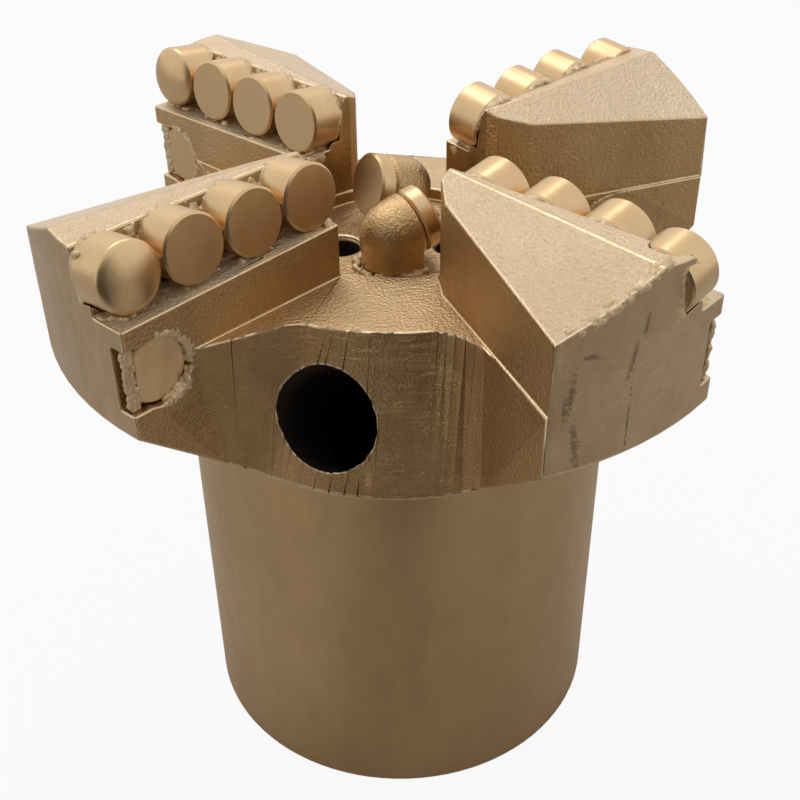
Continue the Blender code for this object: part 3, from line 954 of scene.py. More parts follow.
@dataclass
class Compacts:
    """The face compacts, four on each blade, and the profile that all compacts share."""

    radius: float = 0.00672
    length: float = 0.008
    chamfer: float = 0.00045
    dome: float = 0.0018
    segments: int = 96
    first_u: float = 0.0270
    pitch: float = 0.01416
    face_w: float = 0.00337
    face_z: float = 0.1417
    tilt: float = 7.8
    row_setback: tuple[float, ...] = (0.0, 0.0007, 0.0, 0.0)
    row_drop: tuple[float, ...] = (0.0, 0.0007, 0.0, 0.0)
    last_setback: tuple[float, ...] = (0.0, 0.0034, 0.0034, 0.0)
    edge_turn: float = 40.0

    def frame_of(self, blade: int, order: int) -> Matrix:
        """Find where a face compact sits.

        Args:
            blade: The blade's number, from 0.
            order: The compact's number in the row, from 0.

        Returns:
            Its frame, with Z out of its cutting face.
        """
        u, w, z = self.middle(blade, order)
        tilt = math.radians(self.tilt)
        local = axis_frame((u, w, z), (0.0, math.cos(tilt), math.sin(tilt)))
        return blade_turn(blade) @ local

    def middle(self, blade: int, order: int) -> Triple:
        """Return the middle of a cutting face in its blade's own frame."""
        back = (self.last_setback if order == ROW - 1 else self.row_setback)[blade]
        return (self.first_u + order * self.pitch, self.face_w - back,
                self.face_z - self.row_drop[blade])

    def axes(self) -> list[tuple[Vector, Vector]]:
        """Return each face cutter's middle and direction."""
        places = (self.frame_of(blade, order) for blade in range(BLADES) for order in range(ROW))
        return [(place.translation.copy(), place.to_3x3() @ Vector((0.0, 0.0, 1.0)))
                for place in places]

    def profile(self, domed: bool, length: float) -> list[Pair]:
        """Return the rings of a compact from its brazed end to its cutting face.

        Args:
            domed: Whether the cutting face bulges.
            length: The compact's length.

        Returns:
            (radius, height) of each ring, with the face at height 0.
        """
        r, c = self.radius, self.chamfer
        rings = [(r - 0.0004, -length), (r, -length + 0.0004), (r, -c * 1.2), (r, -c),
                 (r - c, 0.0)]
        if not domed:
            return rings + [(r - c * 1.2, 0.0), (r * 0.5, 0.0), (0.0, 0.0)]
        rings[-1] = (r - c * 0.8, c * 0.1)
        sphere = (r ** 2 + self.dome ** 2) / (2.0 * self.dome)
        widest = math.asin((r - c) / sphere)
        for step in range(9, -1, -1):
            turn = widest * step / 10.0
            rings.append((sphere * math.sin(turn), self.dome - sphere * (1.0 - math.cos(turn))))
        rings[-1] = (0.0, self.dome)
        return rings

    def build(self) -> list[bpy.types.Object]:
        """Set all face cutters in place of the plain ones.

        Returns:
            The face cutters.
        """
        coat = CUTTER_COAT.material()
        flat = lathe("flat_compact", self.profile(False, self.length), self.segments)
        domed = lathe("domed_compact", self.profile(True, self.length), self.segments)
        for model in (flat, domed):
            smooth(model, self.edge_turn)
            model.data.materials.append(coat)
        pieces = []
        for blade in range(BLADES):
            for order in range(ROW):
                piece = placed_copy(f"compact_{blade + 1}_{order + 1}",
                                    domed if order == ROW - 1 else flat,
                                    self.frame_of(blade, order))
                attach(piece, "root")
                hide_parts(f"face_cutter_{blade + 1}_{order + 1}")
                pieces.append(piece)
        for model in (flat, domed):
            bpy.data.objects.remove(model)
        return pieces


def in_blade(blade: int, u: float, w: float, z: float) -> Vector:
    """Return the world place of a point given in a blade's own frame."""
    return blade_turn(blade) @ Vector((u, w, z))


@dataclass
class GaugeCompacts:
    """The compact in each leading face, ground flat on its gauge side."""

    compacts: Compacts
    centre_u: float = 0.0679
    flat_u: float = 0.0723
    face_w: float = 0.0047
    centre_z: float = 0.1228
    flat_edge: float = 0.00025

    def build(self) -> list[bpy.types.Object]:
        """Set the four gauge compacts in place of the plain ones.

        Returns:
            The gauge compacts.
        """
        compacts = self.compacts
        model = lathe("gauge_compact", compacts.profile(False, compacts.length),
                      compacts.segments)
        edit(model)
        bpy.ops.mesh.bisect(plane_co=(self.flat_u - self.centre_u, 0.0, 0.0),
                            plane_no=(1.0, 0.0, 0.0), use_fill=True, clear_outer=True)
        bpy.ops.mesh.select_all(action="SELECT")
        bpy.ops.mesh.normals_make_consistent(inside=False)
        close_edit()
        apply_modifier(model, "BEVEL", width=self.flat_edge, segments=2, limit_method="ANGLE",
                       angle_limit=math.radians(50.0))
        smooth(model, compacts.edge_turn)
        model.data.materials.append(CUTTER_COAT.material())
        local = Matrix(((1.0, 0.0, 0.0, self.centre_u), (0.0, 0.0, 1.0, self.face_w),
                        (0.0, -1.0, 0.0, self.centre_z), (0.0, 0.0, 0.0, 1.0)))
        pieces = []
        for blade in range(BLADES):
            piece = placed_copy(f"gauge_compact_{blade + 1}", model, blade_turn(blade) @ local)
            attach(piece, "root")
            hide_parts(f"gauge_cutter_{blade + 1}")
            pieces.append(piece)
        bpy.data.objects.remove(model)
        return pieces


@dataclass
class CentreStuds:
    """The two leaning studs in the recess, each with a short compact on its front."""

    compacts: Compacts
    place: Pair = (-0.00132, -0.01118)
    height: float = 0.1286
    base: float = 0.1217
    face_angle: float = 27.0
    tilt: float = 16.0
    body_length: float = 0.0046
    cutter_length: float = 0.0036
    gap: float = 0.0003
    peg_r: float = 0.0052
    peg_depth: float = 0.0083
    chamfer: float = 0.0003
    foot_inset: float = 0.0004
    foot_drop: float = 0.0006
    peg_drop: float = 0.002
    foot_front: float = 0.95
    voxel: float = 0.00022
    skin_turn: float = 60.0

    def upright(self, turn: float) -> Matrix:
        """Return a stud's upright frame, with X towards its cutting face."""
        return (Matrix.Rotation(turn, 4, "Z") @ Matrix.Translation((*self.place, 0.0))
                @ Matrix.Rotation(math.radians(self.face_angle), 4, "Z"))

    def leaning(self, turn: float) -> Matrix:
        """Return a stud's leaning frame, with Z out towards its cutting face."""
        tilt = math.radians(self.tilt)
        return self.upright(turn) @ axis_frame((0.0, 0.0, self.height),
                                               (math.cos(tilt), 0.0, math.sin(tilt)))

    def bullet(self, name: str, turn: float) -> bpy.types.Object:
        """Turn a stud's ball-ended upper part.

        Args:
            name: The object's name.
            turn: The stud's turn about the bit's axis.

        Returns:
            The upper part, leaning in its place.
        """
        r, seam = self.compacts.radius, self.body_length
        rings = [(r * math.cos(math.radians(lift)), -r * math.sin(math.radians(lift)))
                 for lift in range(86, 0, -8)]
        rings += [(r, 0.0), (r, seam - self.chamfer), (r - self.chamfer, seam),
                  (r - 0.0006, seam), (r - 0.0006, seam + self.gap + 0.0004)]
        return settle(lathe(name, rings, 64), self.leaning(turn))

    def foot(self, turn: float) -> bpy.types.Object:
        """Shape a stud's upright foot: round behind and square in front.

        Args:
            turn: The stud's turn about the bit's axis.

        Returns:
            The foot with its peg, upright in its place.
        """
        half, front = self.compacts.radius - self.foot_inset, self.body_length * self.foot_front
        top = self.height - self.foot_drop
        bpy.ops.mesh.primitive_cylinder_add(vertices=48, radius=half, depth=top - self.base,
                                            location=(0.0, 0.0, (top + self.base) / 2.0))
        foot = bpy.context.object
        bpy.ops.object.transform_apply(location=True)
        for corner in foot.data.vertices:
            if corner.co.x > 0.0:
                reach = math.hypot(corner.co.x, corner.co.y)
                along = corner.co.x / reach
                corner.co.x = front * min(1.0, along * 1.9)
                corner.co.y = math.copysign(half * (1.0 if along < 0.55 else
                                                    abs(corner.co.y) / reach * 1.2), corner.co.y)
        peg_top = self.height - self.peg_drop
        peg_middle = (peg_top + self.base - self.peg_depth) / 2.0
        bpy.ops.mesh.primitive_cylinder_add(vertices=32, radius=self.peg_r,
                                            depth=peg_top - self.base + self.peg_depth,
                                            location=(0.0, 0.0, peg_middle))
        peg = bpy.context.object
        bpy.ops.object.transform_apply(location=True)
        apply_modifier(foot, "BOOLEAN", operation="UNION", solver="EXACT", object=peg)
        bpy.data.objects.remove(peg)
        return settle(foot, self.upright(turn))

    def build(self) -> list[bpy.types.Object]:
        """Stand both studs and their compacts in place of the plain ones.

        Returns:
            The studs and the compacts.
        """
        coat, cutter_coat = STUD_COAT.material(), CUTTER_COAT.material()
        pieces = []
        for label, turn in HALF_TURNS.items():
            stud = self.bullet(f"ball_stud_{label}", turn)
            foot = self.foot(turn)
            apply_modifier(stud, "BOOLEAN", operation="UNION", solver="EXACT", object=foot)
            bpy.data.objects.remove(foot)
            apply_modifier(stud, "REMESH", mode="VOXEL", voxel_size=self.voxel)
            apply_modifier(stud, "SMOOTH", factor=0.5, iterations=6)
            smooth(stud, self.skin_turn)
            stud.data.materials.append(coat)
            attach(stud, "root")
            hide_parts(f"centre_stud_{label}")
            seat = self.body_length + self.gap + self.cutter_length
            cap = lathe(f"centre_compact_{label}",
                        self.compacts.profile(False, self.cutter_length),
                        self.compacts.segments)
            settle(cap, self.leaning(turn) @ Matrix.Translation((0.0, 0.0, seat)))
            smooth(cap, self.compacts.edge_turn)
            cap.data.materials.append(cutter_coat)
            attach(cap, "root")
            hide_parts(f"centre_cutter_{label}")
            pieces += [stud, cap]
        return pieces


@dataclass
class FillerRun:
    """A run of molten filler or torn metal: overlapping drops fused in one rough skin."""

    name: str
    slot: str = "sprayed_steel"
    voxel: float = 0.00024
    rough: float = 0.00022
    rounds: int = 2
    batch: int = 50
    grain_size: float = 0.0011
    skin_turn: float = 60.0
    drops: list[tuple[Vector, float]] = field(default_factory=list)

    @staticmethod
    def lump(drops: Sequence[tuple[Vector, float]]) -> bpy.types.Object:
        """Make one object of a few drops.

        Args:
            drops: Each drop's place and radius.

        Returns:
            The object.
        """
        (place, radius), rest = drops[0], drops[1:]
        bpy.ops.mesh.primitive_ico_sphere_add(subdivisions=2, radius=radius, location=place)
        lump = bpy.context.object
        bpy.ops.object.transform_apply(location=True)
        edit(lump, select=False)
        for place, radius in rest:
            bpy.ops.mesh.primitive_ico_sphere_add(subdivisions=2, radius=radius, location=place)
        close_edit()
        return lump

    def add(self, place: Vector, radius: float) -> None:
        """Let one drop fall."""
        self.drops.append((place, radius))

    def build(self, coat: bpy.types.Material) -> bpy.types.Object:
        """Fuse the drops.

        Args:
            coat: The run's material.

        Returns:
            The run.
        """
        lumps = [self.lump(self.drops[start:start + self.batch])
                 for start in range(0, len(self.drops), self.batch)]
        run = lumps[0]
        make_active(run)
        for lump in lumps[1:]:
            lump.select_set(True)
        if len(lumps) > 1:
            bpy.ops.object.join()
        run.name = run.data.name = self.name
        apply_modifier(run, "REMESH", mode="VOXEL", voxel_size=self.voxel)
        grain = bpy.data.textures.new(f"{self.name}_grain", "CLOUDS")
        grain.noise_scale = self.grain_size
        grain.noise_depth = 3
        apply_modifier(run, "DISPLACE", texture=grain, strength=self.rough, mid_level=0.5)
        apply_modifier(run, "SMOOTH", factor=0.5, iterations=self.rounds)
        smooth(run, self.skin_turn)
        run.data.materials.append(coat)
        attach(run, "root")
        return run


RING_NUGGETS: tuple[Triple, ...] = (
    (108.0, 1.12, 0.0008), (-142.0, 1.10, 0.0009), (-100.0, 1.06, 0.0008))
BEAD_NUGGETS: tuple[Triple, ...] = (
    (-104.0, 1.10, 0.0007), (-62.0, 1.16, 0.0010), (-58.0, 1.05, 0.0008),
    (-28.0, 1.18, 0.0008), (-150.0, 1.12, 0.0007))


@dataclass
class Braze:
    """The filler that holds the compacts and the studs, with its runs and nuggets."""

    compacts: Compacts
    gauge: GaugeCompacts
    studs: CentreStuds
    ledge_z: float = 0.1353
    ledge_fall: float = 0.024
    ledge_from: float = 0.0204
    ledge_to: float = 0.0735
    step_w: float = -0.0019
    step_top_z: float = 0.1374
    step_lean: float = 0.511
    lead_w: float = 0.006
    gauge_r: float = 0.075
    crest_z: float = 0.1462
    rear_from: Pair = (0.0204, -0.0072)
    rear_slope: Pair = (0.0651, 0.4150)
    pool_r: float = 0.0738
    slit_end: float = 0.0742
    lip_span: Pair = (-0.0305, -0.0120)
    flat_span: Pair = (-0.0056, 0.0058)
    gap_lifts: tuple[float, ...] = (-0.0016, -0.0008, 0.0, 0.0008)
    gap_step: float = 0.0005
    flat_step: float = 0.0004
    pool_inset: float = 0.0016
    pool_size: Pair = (0.0012, 0.0018)
    cheek_depth: Pair = (0.0072, 0.0092)
    cheek_rise: Pair = (-0.0050, 0.0050)
    fine_size: Pair = (0.0005, 0.0008)
    wedge_side: Pair = (0.0019, 0.0035)
    wedge_size: Pair = (0.0006, 0.0011)
    keel_size: Pair = (0.0007, 0.0009)
    wedge_step: Pair = (0.0004, 0.0007)
    neck_turn: Pair = (-12.0, 192.0)
    neck_size: Pair = (0.0006, 0.0008)
    neck_sink: Pair = (0.85, 1.0)
    gap_shift: Pair = (-0.0001, 0.0001)
    gap_lift: Pair = (-0.0003, 0.0003)
    gap_size: Pair = (0.00042, 0.0006)
    corner_rise: Pair = (0.0002, 0.0040)
    corner_size: Pair = (0.0003, 0.0007)
    ring_turn: Pair = (40.0, 318.0)
    ring_reach: Pair = (0.0001, 0.0019)
    ring_share: Pair = (0.5, 1.0)
    ring_size: Pair = (0.0004, 0.0010)
    ring_sink: Pair = (0.78, 1.05)
    slit_depth: Pair = (0.0016, 0.0021)
    slit_rise: Pair = (-0.0060, 0.0060)
    flat_gap: Pair = (0.0002, 0.0005)
    flat_depth: Pair = (0.0006, 0.0009)
    flat_size: Pair = (0.00045, 0.00060)
    lip_reach: Pair = (-0.0006, 0.0)
    lip_inset: Pair = (0.0002, 0.0018)
    lip_drop: Pair = (0.0007, 0.0011)
    lip_size: Pair = (0.0006, 0.0010)
    lip_step: Pair = (0.00015, 0.0004)
    bead_reach: Pair = (-0.0002, 0.0012)
    bead_rise: Pair = (0.0, 0.0005)
    bead_size: Pair = (0.0004, 0.0009)
    row_seed: int = 410
    ring_seed: int = 530
    lip_seed: int = 702
    stud_seeds: dict[str, int] = field(default_factory=lambda: {"front": 611, "back": 612})
    apron_drops: int = 110
    cheek_drops: int = 80
    neck_drops: int = 150
    corner_drops: int = 26
    ring_drops: int = 330
    slit_drops: int = 120
    bead_drops: int = 110

    def wall(self, z: float) -> float:
        """Return how far back the step and the slope behind the compacts stand at a height."""
        return self.step_w - max(0.0, z - self.step_top_z) * self.step_lean

    def ledge(self, u: float) -> float:
        """Return the ledge's height at a distance from the bit's axis."""
        return self.ledge_z - self.ledge_fall * (u - self.ledge_from)

    def apron(self, run: FillerRun, draw: random.Random, blade: int) -> None:
        """Pool filler on the ledge in front of the step, thinner towards its leading edge.

        Args:
            run: The run that the drops go to.
            draw: The source of chance.
            blade: The blade's number, from 0.
        """
        for _ in range(self.apron_drops):
            u = draw.uniform(self.ledge_from + self.pool_inset, self.ledge_to)
            share = draw.random() ** 1.5
            w = self.step_w + (self.lead_w - self.pool_inset - self.step_w) * share
            if math.hypot(u, w) > self.pool_r:
                continue
            size = draw.uniform(*self.pool_size)
            rise = 0.0006 - 0.0005 * share
            run.add(in_blade(blade, u, w, self.ledge(u) - size + rise), size)

    def cheek(self, run: FillerRun, draw: random.Random, blade: int, z: float,
              face: float) -> None:
        """Close the outer side of the outermost pocket.

        Args:
            run: The run that the drops go to.
            draw: The source of chance.
            blade: The blade's number, from 0.
            z: The height of the compact's middle.
            face: How far forward its cutting face stands.
        """
        for _ in range(self.cheek_drops):
            w = face - draw.uniform(*self.cheek_depth)
            rise = draw.uniform(*self.cheek_rise)
            high = z - math.tan(math.radians(self.compacts.tilt)) * (face - w)
            size = draw.uniform(*self.fine_size)
            reach = self.gauge_r - size * 0.85
            run.add(in_blade(blade, math.sqrt(reach ** 2 - w ** 2), w, high + rise), size)

    def row(self, blade: int) -> FillerRun:
        """Fill the wedges round a blade's four face compacts.

        Args:
            blade: The blade's number, from 0.

        Returns:
            The run, still in drops.
        """
        draw = random.Random(self.row_seed + blade)
        run = FillerRun(f"braze_row_{blade + 1}", rounds=5)
        for order in range(ROW):
            u, face, z = self.compacts.middle(blade, order)
            self.wedges(run, draw, blade, u, face)
            self.neck(run, draw, blade, (u, z), face)
            if order < ROW - 1:
                self.between(run, draw, blade, u + self.compacts.pitch / 2.0, z, face)
            else:
                self.cheek(run, draw, blade, z, face)
        self.apron(run, draw, blade)
        return run

    def wedges(self, run: FillerRun, draw: random.Random, blade: int, u: float,
               face: float) -> None:
        """Fill the two wedges between a compact's underside and the ledge.

        Args:
            run: The run that the drops go to.
            draw: The source of chance.
            blade: The blade's number, from 0.
            u: The compact's distance from the bit's axis.
            face: How far forward its cutting face stands.
        """
        w = face - 0.0009
        while w > self.step_w - 0.0006:
            for side in (-1.0, 1.0):
                at = u + side * draw.uniform(*self.wedge_side)
                run.add(in_blade(blade, at, w, self.ledge(at) - 0.0001),
                        draw.uniform(*self.wedge_size))
            run.add(in_blade(blade, u, w, self.ledge(u)), draw.uniform(*self.keel_size))
            w -= draw.uniform(*self.wedge_step)

    def neck(self, run: FillerRun, draw: random.Random, blade: int,
             middle: Pair, face: float) -> None:
        """Carry a compact's rear end into the slope behind it, flush with its side.

        Args:
            run: The run that the drops go to.
            draw: The source of chance.
            blade: The blade's number, from 0.
            middle: The compact's distance from the bit's axis and its height.
            face: How far forward its cutting face stands.
        """
        (u, z), r = middle, self.compacts.radius
        drop = math.tan(math.radians(self.compacts.tilt))
        for _ in range(self.neck_drops):
            turn = math.radians(draw.uniform(*self.neck_turn))
            size = draw.uniform(*self.neck_size)
            out = r - size * draw.uniform(*self.neck_sink)
            wall = self.wall(z - 0.0010 + out * math.sin(turn))
            w = draw.uniform(wall - 0.0004, max(wall + 0.0002, face - 0.0076))
            run.add(in_blade(blade, u + out * math.cos(turn), w,
                             z - drop * (face - w) + out * math.sin(turn)), size)

    def between(self, run: FillerRun, draw: random.Random, blade: int, u: float, z: float,
                face: float) -> None:
        """Fill the narrow gap between two neighbours and the corner above it.

        Args:
            run: The run that the drops go to.
            draw: The source of chance.
            blade: The blade's number, from 0.
            u: The gap's distance from the bit's axis.
            z: The height of the neighbours' middles.
            face: How far forward their cutting faces stand.
        """
        w = face - 0.0016
        while w > self.step_w - 0.002:
            for lift in self.gap_lifts:
                run.add(in_blade(blade, u + draw.uniform(*self.gap_shift), w,
                                 z - 0.0006 + lift + draw.uniform(*self.gap_lift)),
                        draw.uniform(*self.gap_size))
            w -= self.gap_step
        for _ in range(self.corner_drops):
            high = z + draw.uniform(*self.corner_rise)
            reach = 0.0002 + 0.28 * max(0.0, high - z)
            run.add(in_blade(blade, u + draw.uniform(-reach, reach), self.wall(high) - 0.0001,
                             high), draw.uniform(*self.corner_size))

    def gauge_ring(self, blade: int) -> FillerRun:
        """Lay the ragged fillet round a gauge compact.

        Args:
            blade: The blade's number, from 0.

        Returns:
            The run, still in drops.
        """
        draw = random.Random(self.ring_seed + blade)
        run = FillerRun(f"braze_gauge_{blade + 1}", voxel=0.00020, rough=0.00036, rounds=6)
        u, z, r = self.gauge.centre_u, self.gauge.centre_z, self.compacts.radius
        for _ in range(self.ring_drops):
            turn = math.radians(draw.uniform(*self.ring_turn))
            out = r + draw.uniform(*self.ring_reach) * draw.uniform(*self.ring_share)
            size = draw.uniform(*self.ring_size)
            near = out < r + 0.0004
            deep = self.lead_w - size * draw.uniform(*self.ring_sink) - (0.0009 if near else 0.0)
            at = u - out * math.cos(turn) if math.cos(turn) > 0.0 else u + out * math.cos(turn)
            if draw.random() < 0.45 or math.sin(turn) > 0.2:
                run.add(in_blade(blade, at, deep, z + out * math.sin(turn)), size)
        for turn, out, size in RING_NUGGETS:
            a = math.radians(turn)
            run.add(in_blade(blade, u + r * out * math.cos(a), self.lead_w - 0.0003,
                             z + r * out * math.sin(a)), size)
        for _ in range(self.slit_drops):
            size = draw.uniform(*self.fine_size)
            at = draw.uniform(self.gauge.flat_u, self.slit_end)
            run.add(in_blade(blade, at, self.lead_w - draw.uniform(*self.slit_depth),
                             z + draw.uniform(*self.slit_rise)), size)
        high, top = self.flat_span
        while high < top:
            run.add(in_blade(blade, self.gauge.flat_u + draw.uniform(*self.flat_gap),
                             self.gauge.face_w - draw.uniform(*self.flat_depth), z + high),
                    draw.uniform(*self.flat_size))
            high += self.flat_step
        return run

    def torn_lip(self, blade: int) -> FillerRun:
        """Raise the ragged lip of metal along the outer edge of a blade's rear slope.

        Args:
            blade: The blade's number, from 0.

        Returns:
            The run, still in drops.
        """
        draw = random.Random(self.lip_seed)
        run = FillerRun(f"torn_lip_{blade + 1}", voxel=0.00022, rough=0.0003, rounds=5)
        w, end = self.lip_span
        while w < end:
            reach = self.gauge_r + draw.uniform(*self.lip_reach)
            u = math.sqrt(reach ** 2 - w ** 2)
            z = (self.crest_z + self.rear_slope[0] * (u - self.rear_from[0])
                 + self.rear_slope[1] * (w - self.rear_from[1]))
            for _ in range(2):
                run.add(in_blade(blade, u - draw.uniform(*self.lip_inset), w,
                                 z - draw.uniform(*self.lip_drop)), draw.uniform(*self.lip_size))
            w += draw.uniform(*self.lip_step)
        return run

    def stud_ring(self, label: str, turn: float) -> FillerRun:
        """Lay the lumpy bead round a stud's foot.

        Args:
            label: The stud's name.
            turn: The stud's turn about the bit's axis.

        Returns:
            The run, still in drops.
        """
        draw = random.Random(self.stud_seeds[label])
        run = FillerRun(f"braze_stud_{label}", slot="sprayed_stud")
        place = self.studs.upright(turn)
        floor = self.studs.base - 0.0004
        front = self.studs.body_length * self.studs.foot_front + 0.0006
        for count in range(self.bead_drops):
            a = math.tau * count / float(self.bead_drops)
            out = self.compacts.radius + draw.uniform(*self.bead_reach)
            x = min(out * math.cos(a), front)
            run.add(place @ Vector((x, out * math.sin(a), floor + draw.uniform(*self.bead_rise))),
                    draw.uniform(*self.bead_size))
        for a, out, size in BEAD_NUGGETS:
            t = math.radians(a) - math.radians(self.studs.face_angle)
            reach = self.compacts.radius * out
            run.add(place @ Vector((reach * math.cos(t), reach * math.sin(t), floor + 0.0005)),
                    size)
        return run

    def build(self) -> list[bpy.types.Object]:
        """Lay every run.

        Returns:
            The runs.
        """
        coat = BRAZE_COAT.material()
        runs = [self.row(blade) for blade in range(BLADES)]
        runs += [self.gauge_ring(blade) for blade in range(BLADES)]
        runs.append(self.torn_lip(1))
        runs += [self.stud_ring(label, turn) for label, turn in HALF_TURNS.items()]
        return [run.build(coat) for run in runs]


@dataclass
class Studio:
    """White floor and backdrop, soft lamps and the photograph's camera."""

    floor_size: float = 6.0
    floor_drop: float = 0.0001
    floor_glow: Colour = (0.995, 1.0, 1.0, 1.0)
    floor_light: Colour = (0.80, 0.80, 0.80, 1.0)
    floor_dark: Colour = (0.10, 0.09, 0.085, 1.0)
    floor_share: float = 0.92
    floor_gloss: float = 0.0
    dark_spread: float = 1.1
    dark_span: Pair = (-0.07, -0.22)
    sky_dim: Colour = (1.0, 0.99, 0.97, 1.0)
    sky_strength: float = 0.45
    sky_white: Colour = (0.956, 0.972, 0.986, 1.0)
    front_way: Triple = (0.05, -0.99, 0.12)
    front_span: Pair = (0.55, 0.92)
    front_share: float = 0.08
    lamp_aim: Triple = (0.0, 0.0, 0.12)
    camera_place: Triple = (-0.00594, -0.23167, 0.24044)
    pitch: float = 34.87
    roll: float = -0.7
    turn: float = -1.55
    lens: float = 53.768
    sensor: float = 36.0
    clip: float = 0.01

    def build(self) -> None:
        """Make the floor, the world, the lamps and the camera."""
        self.floor()
        self.world()
        self.lamp("key_box", (-0.22, 0.42, 0.86), 0.36, 1.5)
        self.lamp("spark_box", (0.13, 0.53, 0.78), 0.14, 0.32)
        self.camera()

    def floor(self) -> None:
        """Lay a white floor that keeps the object's shadow."""
        bpy.ops.mesh.primitive_plane_add(size=self.floor_size,
                                         location=(0.0, 0.0, -self.floor_drop))
        floor = bpy.context.object
        floor.name = "studio_floor"
        material = bpy.data.materials.new("floor_white")
        material.use_nodes = True
        material.node_tree.nodes.clear()
        wiring = Wiring(material.node_tree)
        paths = wiring.node("ShaderNodeLightPath")
        matt = wiring.node("ShaderNodeBsdfDiffuse")
        wiring.feed(matt.inputs["Color"], self.floor_tone(wiring, paths))
        glow = wiring.node("ShaderNodeEmission")
        wiring.feed(glow.inputs["Color"], self.floor_glow)
        share = wiring.maths("MULTIPLY", self.seen(wiring, paths, self.floor_gloss),
                             self.floor_share)
        self.put_out(wiring, "ShaderNodeOutputMaterial", share, matt, glow)
        floor.data.materials.append(material)

    def floor_tone(self, wiring: Wiring, paths: bpy.types.Node) -> bpy.types.NodeSocket:
        """Grade the floor that metal mirrors, darker far out in front, where the room is dark.

        Args:
            wiring: The floor's nodes.
            paths: Its Light Path node.

        Returns:
            The floor's colour.
        """
        axes = wiring.node("ShaderNodeSeparateXYZ")
        wiring.feed(axes.inputs[0], wiring.node("ShaderNodeTexCoord").outputs["Object"])
        side = wiring.maths("ABSOLUTE", axes.outputs["X"])
        reach = wiring.maths("MULTIPLY_ADD", side, self.dark_spread, axes.outputs["Y"])
        share = wiring.maths("MULTIPLY", wiring.mapped(reach, self.dark_span),
                             paths.outputs["Is Glossy Ray"])
        return wiring.mixed(share, self.floor_light, self.floor_dark)

    @staticmethod
    def seen(wiring: Wiring, paths: bpy.types.Node, gloss: float) -> bpy.types.NodeSocket:
        """Return how far a ray sees the plain white background.

        Args:
            wiring: The nodes.
            paths: Their Light Path node.
            gloss: The share for glossy and transmission rays.

        Returns:
            1 for camera rays, the share for glossy and transmission rays, and 0 for the rest.
        """
        mirrored = wiring.maths("MAXIMUM", paths.outputs["Is Glossy Ray"],
                                paths.outputs["Is Transmission Ray"])
        return wiring.maths("MAXIMUM", paths.outputs["Is Camera Ray"],
                            wiring.maths("MULTIPLY", mirrored, gloss))

    @staticmethod
    def put_out(wiring: Wiring, output: str, share: bpy.types.NodeSocket,
                first: bpy.types.Node, second: bpy.types.Node) -> None:
        """Blend two shaders and put out the result.

        Args:
            wiring: The nodes.
            output: The output node's type.
            share: How much of the second shader.
            first: A shader.
            second: Another shader.
        """
        mix = wiring.node("ShaderNodeMixShader")
        for socket, value in zip(mix.inputs, (share, first.outputs[0], second.outputs[0])):
            wiring.feed(socket, value)
        wiring.feed(wiring.node(output).inputs["Surface"], mix.outputs[0])

    def world(self) -> None:
        """Set a white surround for the camera and for gloss, and a dimmer one for light."""
        world = bpy.data.worlds.new("studio_world")
        bpy.context.scene.world = world
        world.use_nodes = True
        world.node_tree.nodes.clear()
        wiring = Wiring(world.node_tree)
        paths = wiring.node("ShaderNodeLightPath")
        dim = wiring.node("ShaderNodeBackground")
        wiring.feed(dim.inputs["Color"], self.sky_dim)
        wiring.feed(dim.inputs["Strength"], self.sky_strength)
        white = wiring.node("ShaderNodeBackground")
        wiring.feed(white.inputs["Color"], self.sky_white)
        wiring.feed(white.inputs["Strength"],
                    wiring.maths("MAXIMUM", self.room(wiring), paths.outputs["Is Camera Ray"]))
        self.put_out(wiring, "ShaderNodeOutputWorld", self.seen(wiring, paths, 1.0), dim, white)

    def room(self, wiring: Wiring) -> bpy.types.NodeSocket:
        """Shade the surround that metal mirrors: white behind and above, darker in front.

        Args:
            wiring: The world's nodes.

        Returns:
            The surround's strength in each direction.
        """
        facing = wiring.node("ShaderNodeVectorMath", operation="DOT_PRODUCT")
        wiring.feed(facing.inputs[0], wiring.node("ShaderNodeTexCoord").outputs["Generated"])
        wiring.feed(facing.inputs[1], self.front_way)
        return wiring.mapped(facing.outputs["Value"], self.front_span, (1.0, self.front_share))

    def lamp(self, name: str, place: Triple, size: float, power: float) -> None:
        """Hang a square soft box above and behind the bit, turned towards its crown.

        Args:
            name: The lamp's name.
            place: Where it hangs.
            size: The length of its side.
            power: Its power in watts.
        """
        data = bpy.data.lights.new(name, "AREA")
        data.shape = "RECTANGLE"
        data.size = data.size_y = size
        data.energy = power
        lamp = bpy.data.objects.new(name, data)
        bpy.context.scene.collection.objects.link(lamp)
        way = Vector(self.lamp_aim) - Vector(place)
        lamp.matrix_world = (Matrix.Translation(Vector(place))
                             @ way.to_track_quat("-Z", "Y").to_matrix().to_4x4())

    def camera(self) -> None:
        """Set the camera where the photograph was taken from."""
        data = bpy.data.cameras.new("photo_camera")
        data.sensor_width = self.sensor
        data.lens = self.lens
        data.clip_start = self.clip
        camera = bpy.data.objects.new("photo_camera", data)
        bpy.context.scene.collection.objects.link(camera)
        aim = (Matrix.Rotation(math.radians(self.turn), 4, "Z")
               @ Matrix.Rotation(math.radians(90.0 - self.pitch), 4, "X")
               @ Matrix.Rotation(math.radians(self.roll), 4, "Z"))
        camera.matrix_world = Matrix.Translation(Vector(self.camera_place)) @ aim
        bpy.context.scene.camera = camera


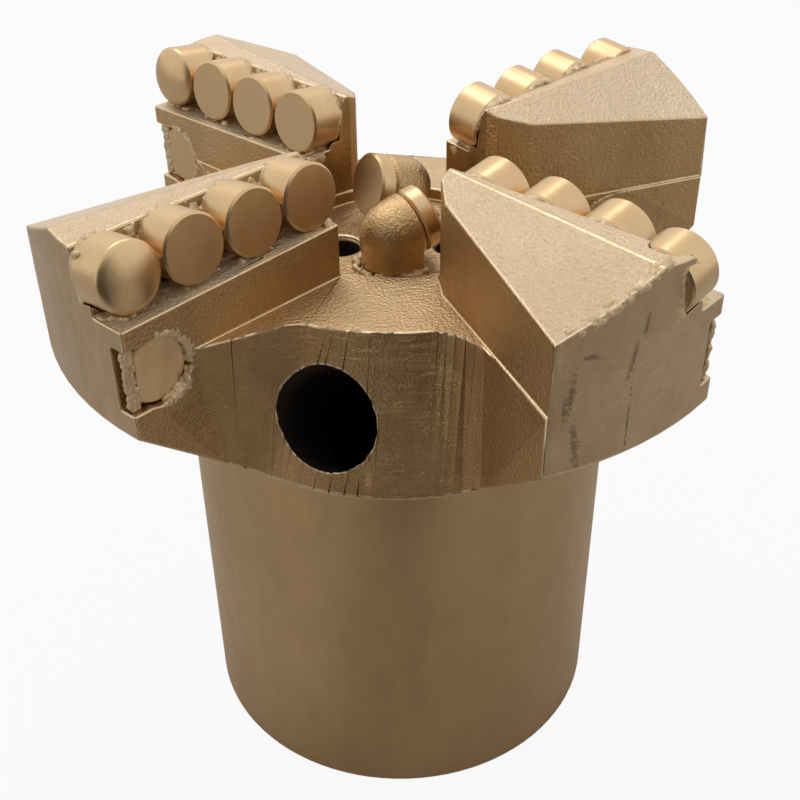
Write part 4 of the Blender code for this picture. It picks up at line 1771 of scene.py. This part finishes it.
def main() -> None:
    """Build every sub-assembly in order and report it."""
    logging.basicConfig(level=logging.INFO, format="%(name)s: %(message)s")
    bpy.context.scene.view_settings.view_transform = "Standard"
    compacts = Compacts()
    crown = Crown(cutter_axes=compacts.axes())
    body = crown.build()
    LOG.info("%s: %d faces", body.name, len(body.data.polygons))
    gauge = GaugeCompacts(compacts)
    studs = CentreStuds(compacts)
    for assembly in (compacts, gauge, studs, Braze(compacts, gauge, studs)):
        for piece in assembly.build():
            LOG.info("%s: %d faces", piece.name, len(piece.data.polygons))
    Studio().build()


if __name__ == "__main__":
    main()
